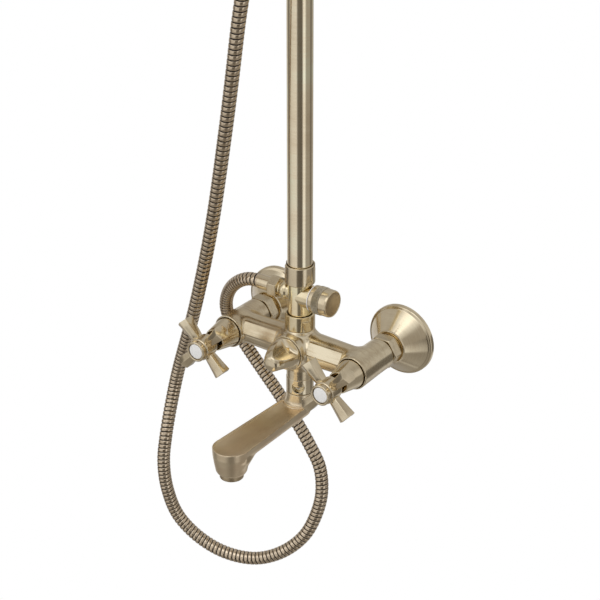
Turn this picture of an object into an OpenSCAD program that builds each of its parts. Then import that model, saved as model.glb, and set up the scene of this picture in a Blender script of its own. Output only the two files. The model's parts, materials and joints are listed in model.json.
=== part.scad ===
// Wall-mounted shower column: two-handle bath mixer, swinging spout, diverter tee, riser pipe,
// hand shower on a metal hose, gooseneck arm and rain head.
// Millimetres. The wall is the plane Y = 0, the column stands at negative Y, +Z is up.
// The origin lies in the wall plane, midway between the two inlets.

/* [Inlets] */
// Distance between the two wall inlets
inlet_spacing = 150; // [144:1:170]
// Radius of the wall thread, G 1/2
inlet_thread_r = 10.48; // [9:0.01:11.5]
// How far the wall thread stands out behind the flanges
inlet_thread_len = 16; // [10:1:25]
// Radius of the thread that the union nuts run on
union_thread_r = 13.2; // [12.6:0.05:14]
// Radius of every water way in the inlets
waterway_r = 7.5; // [5:0.1:8.5]
// Radius of the wall flanges at the rim
flange_r = 36.8; // [30:0.1:42]
// Thickness of the flange rims
flange_rim_t = 4.5; // [3:0.1:7]
// Depth of the wall flanges
flange_depth = 24.5; // [18:0.1:27]
// Radius of the flanges at their small end
flange_neck_r = 16.8; // [15.5:0.1:20]
// Wall of the flange shells
flange_wall = 1.4; // [1:0.1:2]
// Width of the union nuts across their flats
union_nut_af = 30; // [29:0.1:33]
// Length of the union nuts
union_nut_len = 12; // [11:0.1:15]

/* [Mixer] */
// From the wall to the axis of the riser and the spout
riser_out = 71.5; // [68:0.5:85]
// Radius of the valve housings at the back
housing_back_r = 16; // [15:0.1:18]
// Radius of the valve housings at the front
housing_front_r = 17; // [16.5:0.1:18.5]
// From the riser's axis to the front of the valve housings
housing_reach = 19.5; // [17:0.1:26]
// Radius of the cross bar in the middle
bar_r = 17; // [16:0.1:18]
// Radius of the cross bar where it meets the housings
bar_end_r = 15.8; // [14:0.1:16]
// Length of the pads on the cross bar
pad_len = 40; // [26:0.5:42]
// Width of the pads on the cross bar
pad_w = 14; // [9:0.1:16]
// How far the pads turn up from the front
pad_tilt = 28; // [0:1:40]
// Radius of the centre boss
boss_r = 18.6; // [18:0.1:21]
// From the riser's axis to the front of the centre boss
boss_reach = 23; // [20:0.1:28]
// Radius of the spout neck under the body
neck_r = 12.7; // [12.2:0.1:13.4]
// Height of the neck's lower end under the inlets
neck_drop = 33.5; // [30:0.1:40]

/* [Valves and handles] */
// Radius of the bonnets at the housing
bonnet_r = 14.9; // [14.4:0.1:15.4]
// Radius of the bonnets at their open front
bonnet_tip_r = 11.2; // [10.6:0.1:13]
// From the front of the housings to the front of the bonnets
bonnet_len = 23; // [20:0.5:28]
// Radius of the valve spindles
spindle_r = 4; // [3:0.1:4.5]
// Radius of the handle hubs
hub_r = 11.6; // [11:0.1:13]
// Radius at which the handle arms end
arm_r = 33.3; // [26:0.1:38]
// Width of the handle arms at the hub
arm_root_w = 8.6; // [6:0.1:11]
// Width of the handle arms at their ends
arm_tip_w = 13.4; // [9:0.1:18]
// Depth of the handle arms at the hub
arm_root_t = 11.4; // [8:0.1:13]
// Depth of the handle arms at their ends
arm_tip_t = 17.6; // [12:0.1:18]
// Radius of the bezels round the index discs
bezel_r = 10.7; // [9.8:0.1:11]
// Radius of the index discs
index_r = 8.4; // [6:0.1:9]

/* [Selector knob] */
// Radius of the selector knob at its base
selector_r = 17.3; // [15:0.1:18.5]
// Length of the selector knob
selector_len = 28.5; // [25:0.1:36]
// Radius of the knob's blunt nose
selector_nose_r = 7; // [6.5:0.1:9]

/* [Spout] */
// Radius of the spout collar
collar_r = 13.9; // [13.4:0.1:15]
// Length of the spout collar
collar_len = 16.8; // [15:0.1:22]
// From the riser's axis to the outlet's axis
spout_reach = 114; // [90:1:150]
// Width of the spout at its root
spout_root_w = 30; // [27:0.5:36]
// Radius of the spout's rounded end
spout_tip_r = 18.6; // [17:0.1:22]
// Thickness of the spout arm
spout_t = 13; // [11:0.1:16]
// From the collar down to the top of the spout arm
spout_drop = 11.5; // [9:0.1:16]
// Depth of the spout's outlet under the top of the arm
outlet_depth = 28; // [24:0.1:36]
// Radius of the outlet's lower end
outlet_r = 13.6; // [13:0.1:15]
// Radius of the aerator
aerator_r = 11.8; // [10:0.1:12.4]
// How far the aerator stands out under the outlet
aerator_drop = 5.5; // [3:0.1:9]

/* [Diverter tee] */
// Radius of the tee's upright tube
tee_r = 12.1; // [11.9:0.05:12.6]
// Radius of the round nuts on the riser's axis
nut_r = 15.1; // [14.8:0.1:17]
// Height of the lower ring nut
ring_nut_h = 16.3; // [15.5:0.1:20]
// Height of the riser nut
riser_nut_h = 19.7; // [17:0.1:24]
// Height of the tee's side axis above the body
tee_rise = 36; // [34:0.1:44]
// Radius of the branch that carries the diverter
branch_r = 11; // [10.4:0.1:11.8]
// From the riser's axis to the end of that branch
branch_reach = 17; // [15.5:0.1:24]
// Radius of the diverter knob
diverter_r = 13.8; // [13:0.1:16]
// Length of the diverter knob
diverter_len = 21.5; // [19:0.1:28]

/* [Hose and hand shower] */
// Outside diameter of the hose
hose_d = 14; // [12:0.5:15]
// Across the flats of the hose nut
hose_nut_af = 20.5; // [19:0.1:24]
// Radius of the sleeve on the hose's lower end
sleeve_r = 7.4; // [7.2:0.1:8.5]
// Height of the cradle that holds the hand shower
cradle_z = 669; // [640:1:720]
// From the wall to the hinge pin of the cradle
cradle_out = 99; // [97:0.5:106]
// Lean of the hand shower from upright, in degrees
handset_lean = 12; // [8:1:20]
// Length of the hand shower's handle
handset_len = 165; // [140:1:190]
// Radius of the hand shower's head
handset_head_r = 40; // [32:1:50]

/* [Riser, arm and rain head] */
// Outside diameter of the riser pipe
riser_d = 25; // [24.4:0.1:25.6]
// Wall of the riser pipe
riser_wall = 1.2; // [1:0.1:1.4]
// Height of the riser's upper end above the inlets
riser_top = 1000; // [900:5:1100]
// How far the wall bracket is below the top of the riser
bracket_drop = 60; // [40:5:140]
// Radius of the wall bracket's flange
bracket_flange_r = 29; // [27:0.5:36]
// Distance between the wall bracket's two screws
bracket_screw_gap = 40; // [36:1:44]
// Outside diameter of the shower arm
arm_d = 22; // [20:0.1:22.2]
// Height of the top of the arm over the riser
arm_rise = 100; // [85:1:130]
// From the riser's axis to the rain head's axis
arm_reach = 370; // [300:5:420]
// Radius of the bend over the riser
arm_bend_r = 70; // [50:1:80]
// Radius of the bend over the rain head
arm_end_bend_r = 55; // [40:1:60]
// Radius of the swivel ball
ball_r = 10; // [9:0.1:11]
// Radius of the rain head
head_r = 100; // [80:1:125]
// Height of the rain head's dome
head_h = 20; // [16:0.5:30]

/* [Hidden] */
$fn = 72;

brass = [0.66, 0.57, 0.42];
bright = [0.78, 0.70, 0.52];
ceramic = [0.93, 0.93, 0.91];
rubber = [0.15, 0.15, 0.15];
nylon = [0.90, 0.88, 0.86];
steel = [0.60, 0.60, 0.60];

run = 0.05;      // running clearance between a shaft and its hole
gap = 0.3;       // clearance between pieces that move past each other
eps = 0.01;      // overlap of cutting tools past a face
seat_t = 2;      // thickness of the flat washers
inlet_x = inlet_spacing / 2;
bridge_t = 2.4;                         // bridge across the wall thread's water way
bridge_inset = 3;

// ---- stack of the inlets and valves, measured out from the wall
nut_back = flange_depth + 2.5;
nut_front = nut_back + union_nut_len;
nut_lip = 3;
tail_front = nut_front - nut_lip;       // face of the tail's collar, under the nut's lip
tail_collar_t = 3;
washer_front = tail_front - tail_collar_t;
union_end = washer_front - seat_t;
tail_r = 11.2;
tail_depth = 9;                         // how far a tail goes into its housing
housing_back = nut_front + 2;
housing_front = riser_out + housing_reach;
recess_depth = 3;                       // recess that the bonnet stands in
recess_r = bonnet_r + 0.5;
bonnet_front = housing_front + bonnet_len;
bonnet_wall = 1.2;
headwork_r = 12;
headwork_af = 26;
headwork_back = housing_back + tail_depth + 8;
headwork_neck_r = 8;
headwork_hex_t = 5;
valve_disc_r = 9.2;                     // turning disc that opens and shuts the valve
valve_disc_t = 4;
headwork_front = bonnet_front - 6;
hub_back = headwork_front + 2;
stem_r = bonnet_tip_r - bonnet_wall - 2;
arm_plane = bonnet_front + 16.5;
bezel_back = arm_plane + 8.6;
handle_front = bezel_back + 5.5;
index_seat = handle_front - 2.4;
screw_r = 2.5;
screw_head_r = 4.5;
screw_seat = arm_plane - 4;             // the spindle ends here, under the screw's head

// ---- stack of the riser axis, measured up from the inlets
body_top = 20.5;
spigot_r = 13.5;
spigot_h = 6;
tee_bottom = body_top + spigot_h + seat_t / 2;
tee_collar_t = 2;
ring_lip_t = 3.5;
tee_z = body_top + tee_rise;
riser_nut_bottom = tee_z + 13.5;
tee_top = riser_nut_bottom + 8;
riser_r = riser_d / 2;
riser_bore = riser_r - riser_wall;
seal_h = 2.5;
riser_nut_lip = 4.5;
thread_play = 0.05;
notch_w = 8;
notch_h = 6.5;
notch_depth = 1;
notch_turn = 63;                        // where the spanner notch is, round from the front

// ---- tee branches
port_r = 8.33;                          // G 3/8 thread of the hose outlet
port_shoulder = 20.5;
port_len = 8.5;
port_end = port_shoulder + port_len;
hose_nut_near = port_shoulder + 2.3;
hose_nut_len = 11;
hose_nut_far = hose_nut_near + hose_nut_len;
hose_lip = 1.6;
sleeve_len = 15;
sleeve_end = hose_nut_far + sleeve_len;
hose_bore_r = 4;
branch_washer_t = 0.8;
knob_near = branch_reach + branch_washer_t + gap;
knob_end = knob_near + diverter_len;
diverter_cart_r = 8.4;
diverter_hex_r = 9.2;
diverter_disc_r = 6.2;
diverter_disc_t = 5;
diverter_spindle_r = 3;
diverter_spindle_far = knob_end - 4;
knurl_near = knob_near + 4.5;
knurl_len = 0.37 * diverter_len;
knurl_rise = 0.6;
tee_way_r = 8.6;
port_way_r = 5;
hose_washer_t = 1.4;

// ---- selector
boss_front = riser_out + boss_reach;
selector_back = boss_front + 0.5;
selector_front = selector_back + selector_len;
selector_cart_r = 11;
selector_cart_back = riser_out - 6;
selector_port_r = 3.2;
selector_disc_r = 8.6;
selector_disc_t = 5;
selector_hex_r = 11;
selector_hex_t = 4.5;
selector_spindle_r = 4;
selector_spindle_front = selector_back + 16.5;
scoop_count = 3;
scoop_across_r = 35;                    // curve of a scoop across the knob
scoop_along_r = 20;                     // curve of a scoop along the knob
scoop_floor = 8.5;                      // least distance from the knob's axis
scoop_middle = selector_back + 0.6 * selector_len;
scoop_back = selector_back + 1.5;

// ---- spout, measured down from the inlets
collar_bottom = neck_drop + collar_len;
spout_top = collar_bottom + gap;
arm_top = spout_top + spout_drop;
arm_bottom = arm_top + spout_t;
outlet_bottom = arm_top + outlet_depth;
spout_pin_r = 9.5;                      // spigot that turns in the neck
neck_thread_r = 11.6;
neck_thread_len = 5.5;
spout_pin_top = neck_drop - 4;
o_ring_t = 1.8;
o_ring_mid_r = spout_pin_r - o_ring_t / 2;
o_ring_drops = [spout_pin_top + 3.5, spout_pin_top + 6.5];
dish_rim = 2.2;
dish_depth = 1.4;
spout_way_r = 4.4;                      // water way along the arm
root_way_r = 5;
root_back = 6;                          // how far the arm runs back behind the riser's axis
aerator_wall = 0.8;
aerator_holes = 6;
root_r = neck_r + 0.2;
screw_turn = 27;                        // where the collar's screw is, round from the front
collar_screw_drop = neck_drop + neck_thread_len + screw_r + gap;

// ---- hand shower and its holder
clamp_r = 18;
clamp_h = 26;
clamp_pin_r = 3;
ear_t = 4;
barrel_w = 14;
barrel_r = 7;
cradle_reach = 33;                      // from the hinge pin to the cradle's ring
cradle_h = 18;
ring_wall = 3.2;
cone_big_r = 11.6;
cone_small_r = 9.2;
cone_len = 47;
cone_top = 13;                          // cone's upper end over the cradle's middle
cone_foot_z = cone_top - cone_len + 6;  // the taper of the hose's cone runs from here
cone_rim_z = cone_top - 6;              // to here
cradle_slot_w = 15.2;
handset_tilt_head = 25;
grip_r = 11.5;
grip_neck_r = 9.2;
handset_face_t = 2;
handset_face_z = 13;
handset_top = cone_top + handset_len;
spray_rings = 3;
spray_hole_r = 0.9;

// ---- riser top, arm and rain head
arm_pipe_r = arm_d / 2;
arm_wall = 1.2;
arm_insert = 25;
arm_nut_h = 20;
arm_top_z = riser_top + arm_rise;
arm_end_z = arm_top_z - arm_end_bend_r - 22;
stud_nut_af = 26;
stud_nut_h = 12;
ball_neck_r = 5.8;
ball_drop = 17;
ball_z = arm_end_z - stud_nut_h - ball_drop;
head_y = -(riser_out + arm_reach);
seat_ring_t = 2;
seat_ring_h = 10;
cup_r = 17;
collar_h = 7.5;
dome_top = ball_z - 9;
dome_bottom = dome_top - head_h;
rim_h = 5;
head_wall = 1.5;
face_t = 2.5;
bracket_z = riser_top - bracket_drop;
bracket_rod_r = 7;
bracket_ring_r = 17.5;
bracket_h = 22;
bracket_depth = 12;
wall_screw_r = 2.2;
wall_screw_neck_r = 2.5;
wall_screw_head_r = 4.2;
wall_screw_len = 30;

// ---- the hose's route, from the sleeve to the hand shower
hose_route = [
  [-49, -71.5, 56.5], [-54, -71.5, 56.4], [-63, -71, 54.8], [-76, -69, 48], [-90, -65, 35], [-99, -61, 20],
  [-103, -57, 5], [-101, -54, -9], [-95, -51, -21], [-84, -49, -37], [-64, -47, -61], [-44, -45.5, -84],
  [-24, -45, -108], [-6, -45, -132], [6, -45, -153], [11, -48, -179], [8, -53, -205], [-2, -61, -232],
  [-22, -72, -254], [-49, -83, -267], [-81, -93, -267], [-110, -101, -255], [-133, -108, -232],
  [-143, -113, -200], [-147, -113, -168], [-148, -107, -140], [-150, -85, -83], [-116, -91, 18],
  [-85, -101, 118], [-58, -111, 228], [-46, -115, 285], [-35, -118, 343], [-24, -118, 401],
  [-14, -117, 459], [-6, -115.8, 515], [-1.5, -115.8, 560], [0, -118.2, 599], [0, -120.6, 611.5],
  [0, -124.1, 628.6]
];
hose_sides = 10;

// ======== helpers ========

// Turns what is drawn upwards so that it points out from the wall, at x and z
module out(x = 0, z = 0) { translate([x, 0, z]) rotate([90, 0, 0]) children(); }

// Stands what is drawn upwards on the riser's axis
module on_riser(z = 0) { translate([0, -riser_out, z]) children(); }

// Points what is drawn upwards along +X or -X, from the riser's axis at the tee's side axis
module sideways(dir = 1) { on_riser(tee_z) rotate([0, 90 * dir, 0]) children(); }

// The hand shower's own frame: up its handle, from the middle of the cradle's ring
module on_handset() { on_pin() translate([0, -cradle_reach, 0]) children(); }

// The cradle's hinge pin, leaning as the hand shower does
module on_pin() { translate([0, -cradle_out, cradle_z]) rotate([handset_lean, 0, 0]) children(); }

// The rain head's own frame: the centre of its ball
module on_head() { translate([0, head_y, ball_z]) children(); }

module tube(r, bore, from, to) {
  translate([0, 0, from]) difference() {
    cylinder(r = r, h = to - from);
    translate([0, 0, -1]) cylinder(r = bore, h = to - from + 2);
  }
}

module turned(points) { rotate_extrude() polygon(points); }

// A hexagon nut with its corners turned off at both ends
module hex_nut(af, h) {
  corner = af / sqrt(3);
  intersection() {
    cylinder(r = corner, h = h, $fn = 6);
    union() {
      cylinder(r1 = af / 2, r2 = af / 2 + 2, h = 1.2);
      translate([0, 0, 1.2 - eps]) cylinder(r = corner + 1, h = h - 2.4 + 2 * eps);
      translate([0, 0, h - 1.2]) cylinder(r1 = af / 2 + 2, r2 = af / 2, h = 1.2);
    }
  }
}

// ======== inlets ========

module wall_union() {
  difference() {
    turned([[0, -inlet_thread_len], [inlet_thread_r - 0.8, -inlet_thread_len],
      [inlet_thread_r, -inlet_thread_len + 0.8], [inlet_thread_r, 2], [union_thread_r - 0.8, 4],
      [union_thread_r - 0.8, flange_depth - 8], [union_thread_r, flange_depth - 7],
      [union_thread_r, union_end], [0, union_end]]);
    translate([0, 0, -inlet_thread_len - 1]) cylinder(r = waterway_r, h = inlet_thread_len + union_end + 2);
  }
  union_bridge();
}

// Flat bridge across the water way, where a key turns the union into the wall
module union_bridge() {
  translate([-waterway_r - 0.5, -bridge_t / 2, -inlet_thread_len + bridge_inset])
    cube([2 * waterway_r + 1, bridge_t, inlet_thread_len - bridge_inset - 1]);
}

module wall_unions() {
  color(bright) for (x = [-inlet_x, inlet_x]) out(x) wall_union();
}

module flange() {
  bore = union_thread_r + gap;
  inner_neck = flange_neck_r - flange_wall;
  color(brass) turned([
    [flange_r - flange_wall, 0], [flange_r, 0], [flange_r, flange_rim_t - 0.9],
    [flange_r - 0.9, flange_rim_t], [flange_r - 2.8, flange_rim_t + 0.6],
    [flange_neck_r, flange_depth - 1], [flange_neck_r - 0.7, flange_depth], [bore, flange_depth],
    [bore, flange_depth - flange_wall], [inner_neck, flange_depth - flange_wall - 0.6],
    [flange_r - 4.4, flange_rim_t - 0.8], [flange_r - flange_wall, flange_rim_t - 1.2]]);
}

module hot_flange() { out(-inlet_x) flange(); }
module cold_flange() { out(inlet_x) flange(); }

module union_nut() {
  difference() {
    hex_nut(union_nut_af, union_nut_len);
    translate([0, 0, -1]) cylinder(r = union_thread_r + thread_play, h = union_nut_len - nut_lip + 1);
    cylinder(r = tail_r + gap, h = union_nut_len + 1);
  }
}

module union_nuts() {
  color(brass) for (x = [-inlet_x, inlet_x]) out(x) translate([0, 0, nut_back]) union_nut();
}

module inlet_washers() {
  color(rubber) for (x = [-inlet_x, inlet_x]) out(x)
    tube(union_thread_r - 0.4, waterway_r, union_end, washer_front);
}

module inlet_tail() {
  tail_end = housing_back + tail_depth;
  difference() {
    union() {
      translate([0, 0, washer_front]) cylinder(r = union_thread_r - 0.4, h = tail_collar_t);
      translate([0, 0, washer_front]) cylinder(r = tail_r, h = tail_end - washer_front);
    }
    translate([0, 0, washer_front - 1]) cylinder(r = waterway_r, h = tail_end - washer_front + 2);
  }
}

module inlet_tails() { color(bright) for (x = [-inlet_x, inlet_x]) out(x) inlet_tail(); }

// ======== mixer body ========

module housing() {
  turned([[0, housing_back], [housing_back_r - 0.8, housing_back], [housing_back_r, housing_back + 0.8],
    [housing_back_r, riser_out - bar_end_r], [housing_front_r, housing_front - 1.5],
    [housing_front_r - 0.6, housing_front], [0, housing_front]]);
}

module housing_bores() {
  translate([0, 0, housing_back - 1]) cylinder(r = tail_r, h = tail_depth + 1);
  translate([0, 0, housing_back]) cylinder(r = waterway_r, h = headwork_back - housing_back + 1);
  translate([0, 0, headwork_back]) cylinder(r = headwork_r, h = housing_front - headwork_back);
  translate([0, 0, housing_front - recess_depth]) cylinder(r = recess_r, h = recess_depth + 1);
}

// Half of the cross bar, from the middle out along +X
module bar_half() {
  rotate([0, 90, 0]) cylinder(r1 = bar_r, r2 = bar_end_r, h = inlet_x);
}

// Raised pad with sloping edges on the front of the bar, out along +X
module bar_pad() {
  pad_start = boss_r + 1;
  pad_seat = bar_r - 2.2;
  rotate([-pad_tilt, 0, 0]) translate([pad_start + pad_len / 2, -pad_seat, 0]) rotate([90, 0, 0])
    hull() {
      translate([-pad_len / 2, -pad_w / 2, 0]) cube([pad_len, pad_w, 0.1]);
      translate([-pad_len / 2 + 2, -pad_w / 2 + 2, 2]) cube([pad_len - 4, pad_w - 4, 0.2]);
    }
}

// Flat shelf that the pad stands on
module bar_shelf_cut() {
  shelf = bar_r - 1.6;
  rotate([-pad_tilt, 0, 0]) translate([boss_r - 1, -shelf - 10, -pad_w / 2 - 2.2])
    cube([pad_len + 4, 10, pad_w + 4.4]);
}

// Centre boss, out from the riser's axis
module boss() {
  turned([[0, -boss_r + 2], [boss_r - 3, -boss_r + 2], [boss_r, -boss_r + 6], [boss_r, boss_reach - 1],
    [boss_r - 1, boss_reach], [0, boss_reach]]);
}

// Upright middle of the body, from the collar's thread up to the spigot in the ring nut
module upright() {
  neck_end = -neck_drop - neck_thread_len;
  turned([[0, neck_end], [neck_thread_r - 0.6, neck_end], [neck_thread_r, neck_end + 0.6],
    [neck_thread_r, -neck_drop], [neck_r, -neck_drop], [neck_r, -24], [neck_r + 2.4, -17.5],
    [boss_r - 1, -13], [boss_r - 1, 12], [nut_r + 0.4, 17], [nut_r - 0.4, body_top], [spigot_r, body_top],
    [spigot_r, body_top + spigot_h], [0, body_top + spigot_h]]);
}

// Water ways and seats that are cut out of the body
module body_bores() {
  neck_end = -neck_drop - neck_thread_len;
  for (x = [-inlet_x, inlet_x]) out(x) housing_bores();
  on_riser() rotate([0, 90, 0]) translate([0, 0, -inlet_x]) cylinder(r = waterway_r - 1, h = inlet_spacing);
  out() translate([0, 0, selector_cart_back]) cylinder(r = selector_cart_r, h = boss_reach + 7);
  on_riser(-6) cylinder(r = 9, h = body_top + spigot_h + 7);
  on_riser(neck_end - 1) cylinder(r = spout_pin_r + run, h = 3 - spout_pin_top - neck_end);
  on_riser(-spout_pin_top) cylinder(r = waterway_r - 0.5, h = spout_pin_top);
}

module mixer_body() {
  color(brass) difference() {
    union() {
      for (x = [-inlet_x, inlet_x]) out(x) housing();
      for (s = [0, 1]) on_riser() mirror([s, 0, 0]) difference() {
        bar_half();
        bar_shelf_cut();
      }
      for (s = [0, 1]) on_riser() mirror([s, 0, 0]) bar_pad();
      out() translate([0, 0, riser_out]) boss();
      on_riser() upright();
    }
    body_bores();
  }
}

// ======== valves and handles ========

module headwork() {
  hex_from = housing_front - recess_depth + 0.2;
  color(bright) difference() {
    union() {
      translate([0, 0, headwork_back]) cylinder(r = headwork_r, h = hex_from - headwork_back);
      translate([0, 0, hex_from]) intersection() {
        cylinder(r = headwork_af / sqrt(3), h = headwork_hex_t, $fn = 6);
        cylinder(r = bonnet_r - bonnet_wall - 0.1, h = headwork_hex_t);
      }
      translate([0, 0, hex_from]) cylinder(r = headwork_neck_r, h = headwork_front - hex_from);
    }
    translate([0, 0, headwork_back - 1]) cylinder(r = valve_disc_r + gap, h = 2 * valve_disc_t + 1);
    translate([0, 0, headwork_back]) cylinder(r = spindle_r + run, h = headwork_front);
  }
}

module hot_headwork() { out(-inlet_x) headwork(); }
module cold_headwork() { out(inlet_x) headwork(); }

module bonnet() {
  foot = housing_front - recess_depth;
  color(brass) turned([
    [bonnet_r - bonnet_wall, foot], [bonnet_r, foot], [bonnet_r, housing_front + 2],
    [bonnet_tip_r + 0.5, bonnet_front - 0.8], [bonnet_tip_r - 0.3, bonnet_front],
    [bonnet_tip_r - bonnet_wall, bonnet_front], [bonnet_tip_r - bonnet_wall, bonnet_front - 1],
    [bonnet_r - bonnet_wall, housing_front + 3]]);
}

module hot_bonnet() { out(-inlet_x) bonnet(); }
module cold_bonnet() { out(inlet_x) bonnet(); }

module spindle() {
  disc_back = headwork_back + 1;
  color(bright) difference() {
    union() {
      translate([0, 0, disc_back]) cylinder(r = valve_disc_r, h = valve_disc_t);
      translate([0, 0, disc_back]) cylinder(r = spindle_r, h = screw_seat - disc_back);
    }
    translate([0, 0, screw_seat - 12]) cylinder(r = screw_r, h = 20);
  }
}

module hot_spindle() { out(-inlet_x) spindle(); }
module cold_spindle() { out(inlet_x) spindle(); }

// One cross-section of a handle arm: a six-sided bar with a ridge to the front and one to the back
module arm_section(w, t) {
  flank = t * 0.28;
  rotate([0, 90, 0]) linear_extrude(0.1)
    polygon([[-t / 2, 0], [-flank, w / 2], [flank, w / 2], [t / 2, 0], [flank, -w / 2], [-flank, -w / 2]]);
}

module handle_arm() {
  hull() {
    translate([hub_r - 4, 0, 0]) arm_section(arm_root_w, arm_root_t);
    translate([arm_r + 1, 0, 0]) arm_section(arm_tip_w, arm_tip_t);
  }
}

module handle() {
  color(brass) difference() {
    union() {
      turned([[0, hub_back], [stem_r, hub_back], [stem_r, bonnet_front + 2.5],
        [hub_r - 1.2, arm_plane - 6.5], [hub_r, arm_plane - 3], [hub_r, bezel_back - 1],
        [hub_r - 0.6, bezel_back], [0, bezel_back]]);
      intersection() {
        translate([0, 0, arm_plane]) for (a = [45:90:315]) rotate([0, 0, a]) handle_arm();
        cylinder(r = arm_r, h = arm_plane + arm_tip_t);
      }
    }
    translate([0, 0, hub_back - 1]) cylinder(r = spindle_r, h = screw_seat - hub_back + 1);
    translate([0, 0, hub_back]) cylinder(r = screw_r, h = arm_plane - hub_back + 1);
    translate([0, 0, arm_plane]) cylinder(r = screw_head_r + 0.2, h = bezel_back - arm_plane + 1);
  }
}

module hot_handle() { out(-inlet_x) handle(); }
module cold_handle() { out(inlet_x) handle(); }

module bezel() {
  color(brass) turned([
    [bezel_r - 0.8, bezel_back], [bezel_r, bezel_back + 0.8], [bezel_r, handle_front - 1],
    [bezel_r - 0.9, handle_front], [index_r + 0.6, handle_front], [index_r, handle_front - 0.6],
    [index_r, index_seat], [0, index_seat], [0, bezel_back + 1.2],
    [screw_head_r, bezel_back + 1.2], [screw_head_r, bezel_back]]);
}

module hot_bezel() { out(-inlet_x) bezel(); }
module cold_bezel() { out(inlet_x) bezel(); }

module index_disc() {
  color(ceramic) turned([[0, index_seat], [index_r, index_seat], [index_r, handle_front - 0.7],
    [index_r - 0.5, handle_front - 0.4], [0, handle_front - 0.2]]);
}

module hot_index() { out(-inlet_x) index_disc(); }
module cold_index() { out(inlet_x) index_disc(); }

module handle_screw() {
  color(steel) difference() {
    union() {
      translate([0, 0, arm_plane - 15]) cylinder(r = screw_r, h = 16);
      translate([0, 0, arm_plane]) cylinder(r = screw_head_r, h = 3.5);
    }
    translate([-screw_head_r, -0.6, arm_plane + 2]) cube([2 * screw_head_r, 1.2, 2]);
  }
}

module hot_handle_screw() { out(-inlet_x) handle_screw(); }
module cold_handle_screw() { out(inlet_x) handle_screw(); }

// ======== selector ========

module selector_cartridge() {
  color(bright) out() difference() {
    union() {
      translate([0, 0, selector_cart_back])
        cylinder(r = selector_cart_r, h = boss_front - selector_cart_back);
      translate([0, 0, boss_front]) cylinder(r = selector_hex_r, h = selector_hex_t, $fn = 6);
    }
    translate([0, 0, selector_cart_back - 1]) cylinder(r = selector_spindle_r + run, h = boss_reach + 20);
    translate([0, 0, selector_cart_back - 1])
      cylinder(r = selector_disc_r + gap, h = selector_disc_t + 2 + gap);
    selector_ports();
  }
}

// Water ports through the selector's cartridge, up and down
module selector_ports() {
  for (s = [0, 180]) translate([0, 0, riser_out]) rotate([90, 0, s])
    cylinder(r = selector_port_r, h = selector_cart_r + 2);
}

module selector_spindle() {
  disc_back = selector_cart_back + 1;
  color(bright) out() translate([0, 0, disc_back]) {
    cylinder(r = selector_disc_r, h = selector_disc_t);
    cylinder(r = selector_spindle_r, h = selector_spindle_front - disc_back);
  }
}

// Bullet with a blunt nose, hollowed at the back for the cartridge, with a ring of scoops
module selector_knob() {
  color(brass) out() difference() {
    turned([[0, selector_back], [selector_r - 0.5, selector_back], [selector_r, selector_back + 0.5],
      [selector_r, selector_back + 3], [selector_r - 0.9, selector_back + 8],
      [selector_r - 2.9, selector_back + selector_len * 0.46],
      [selector_r - 5.9, selector_back + selector_len * 0.68],
      [selector_nose_r + 1.6, selector_front - 3.6], [selector_nose_r - 0.6, selector_front - 1.2],
      [selector_nose_r - 3, selector_front - 0.2], [0, selector_front]]);
    translate([0, 0, selector_back - 1]) cylinder(r = selector_hex_r + 2 * gap, h = selector_hex_t + 1.5);
    translate([0, 0, selector_back - 1])
      cylinder(r = selector_spindle_r, h = selector_spindle_front - selector_back + 1);
    for (i = [0:scoop_count - 1]) rotate([0, 0, 90 + i * 360 / scoop_count]) scoop();
  }
}

// Wide hollow along the knob, curved both ways, that stops short of the knob's rim
module scoop() {
  translate([scoop_floor + scoop_across_r, 0, scoop_middle]) rotate_extrude() intersection() {
    translate([scoop_across_r - scoop_along_r, 0]) circle(r = scoop_along_r);
    translate([0, scoop_back - scoop_middle]) square([scoop_across_r, 2 * scoop_along_r]);
  }
}

// ======== spout ========

module spout_collar() {
  pin_bore = spout_pin_r + run;
  thread = neck_thread_r + thread_play;
  thread_end = collar_len - neck_thread_len;
  color(brass) difference() {
    on_riser(-collar_bottom) turned([[pin_bore, 0], [collar_r - 0.6, 0], [collar_r, 0.6],
      [collar_r, collar_len - 0.6], [collar_r - 0.6, collar_len], [thread, collar_len],
      [thread, thread_end], [pin_bore, thread_end]]);
    collar_screw_place() cylinder(r = screw_r + thread_play, h = collar_r);
    collar_screw_place() translate([0, 0, collar_r - 1.3]) cylinder(r = 4, h = 5);
  }
}

module collar_screw_place() {
  on_riser(-collar_screw_drop) rotate([90, 0, screw_turn]) children();
}

module spout_screw() {
  color(steel) collar_screw_place() difference() {
    translate([0, 0, spout_pin_r - 0.6]) cylinder(r = screw_r, h = collar_r - 2 - spout_pin_r + 0.6);
    translate([0, 0, collar_r - 3.4]) cylinder(r = 1.3, h = 3, $fn = 6);
  }
}

// Outline of the spout from above, drawn with -Y out from the wall
module spout_plan(inset = 0) {
  root = spout_root_w / 2 - inset;
  tip = spout_tip_r - inset;
  back = root_back + inset;
  polygon([[-root, -back], [root, -back], [tip, -spout_reach], [-tip, -spout_reach]]);
  translate([0, -spout_reach]) circle(r = tip);
}

// Outlet under the spout's round end, tapered like a barrel
module outlet_barrel() {
  translate([0, -spout_reach, 0]) turned([[0, -outlet_bottom], [outlet_r - 0.5, -outlet_bottom],
    [outlet_r, -outlet_bottom + 0.5], [outlet_r + 1.2, -outlet_bottom + 5],
    [spout_tip_r - 2.1, -arm_bottom - 2], [spout_tip_r - 0.8, -arm_bottom + 5],
    [spout_tip_r, -arm_top - 2], [spout_tip_r, -arm_top], [0, -arm_top]]);
}

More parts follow.
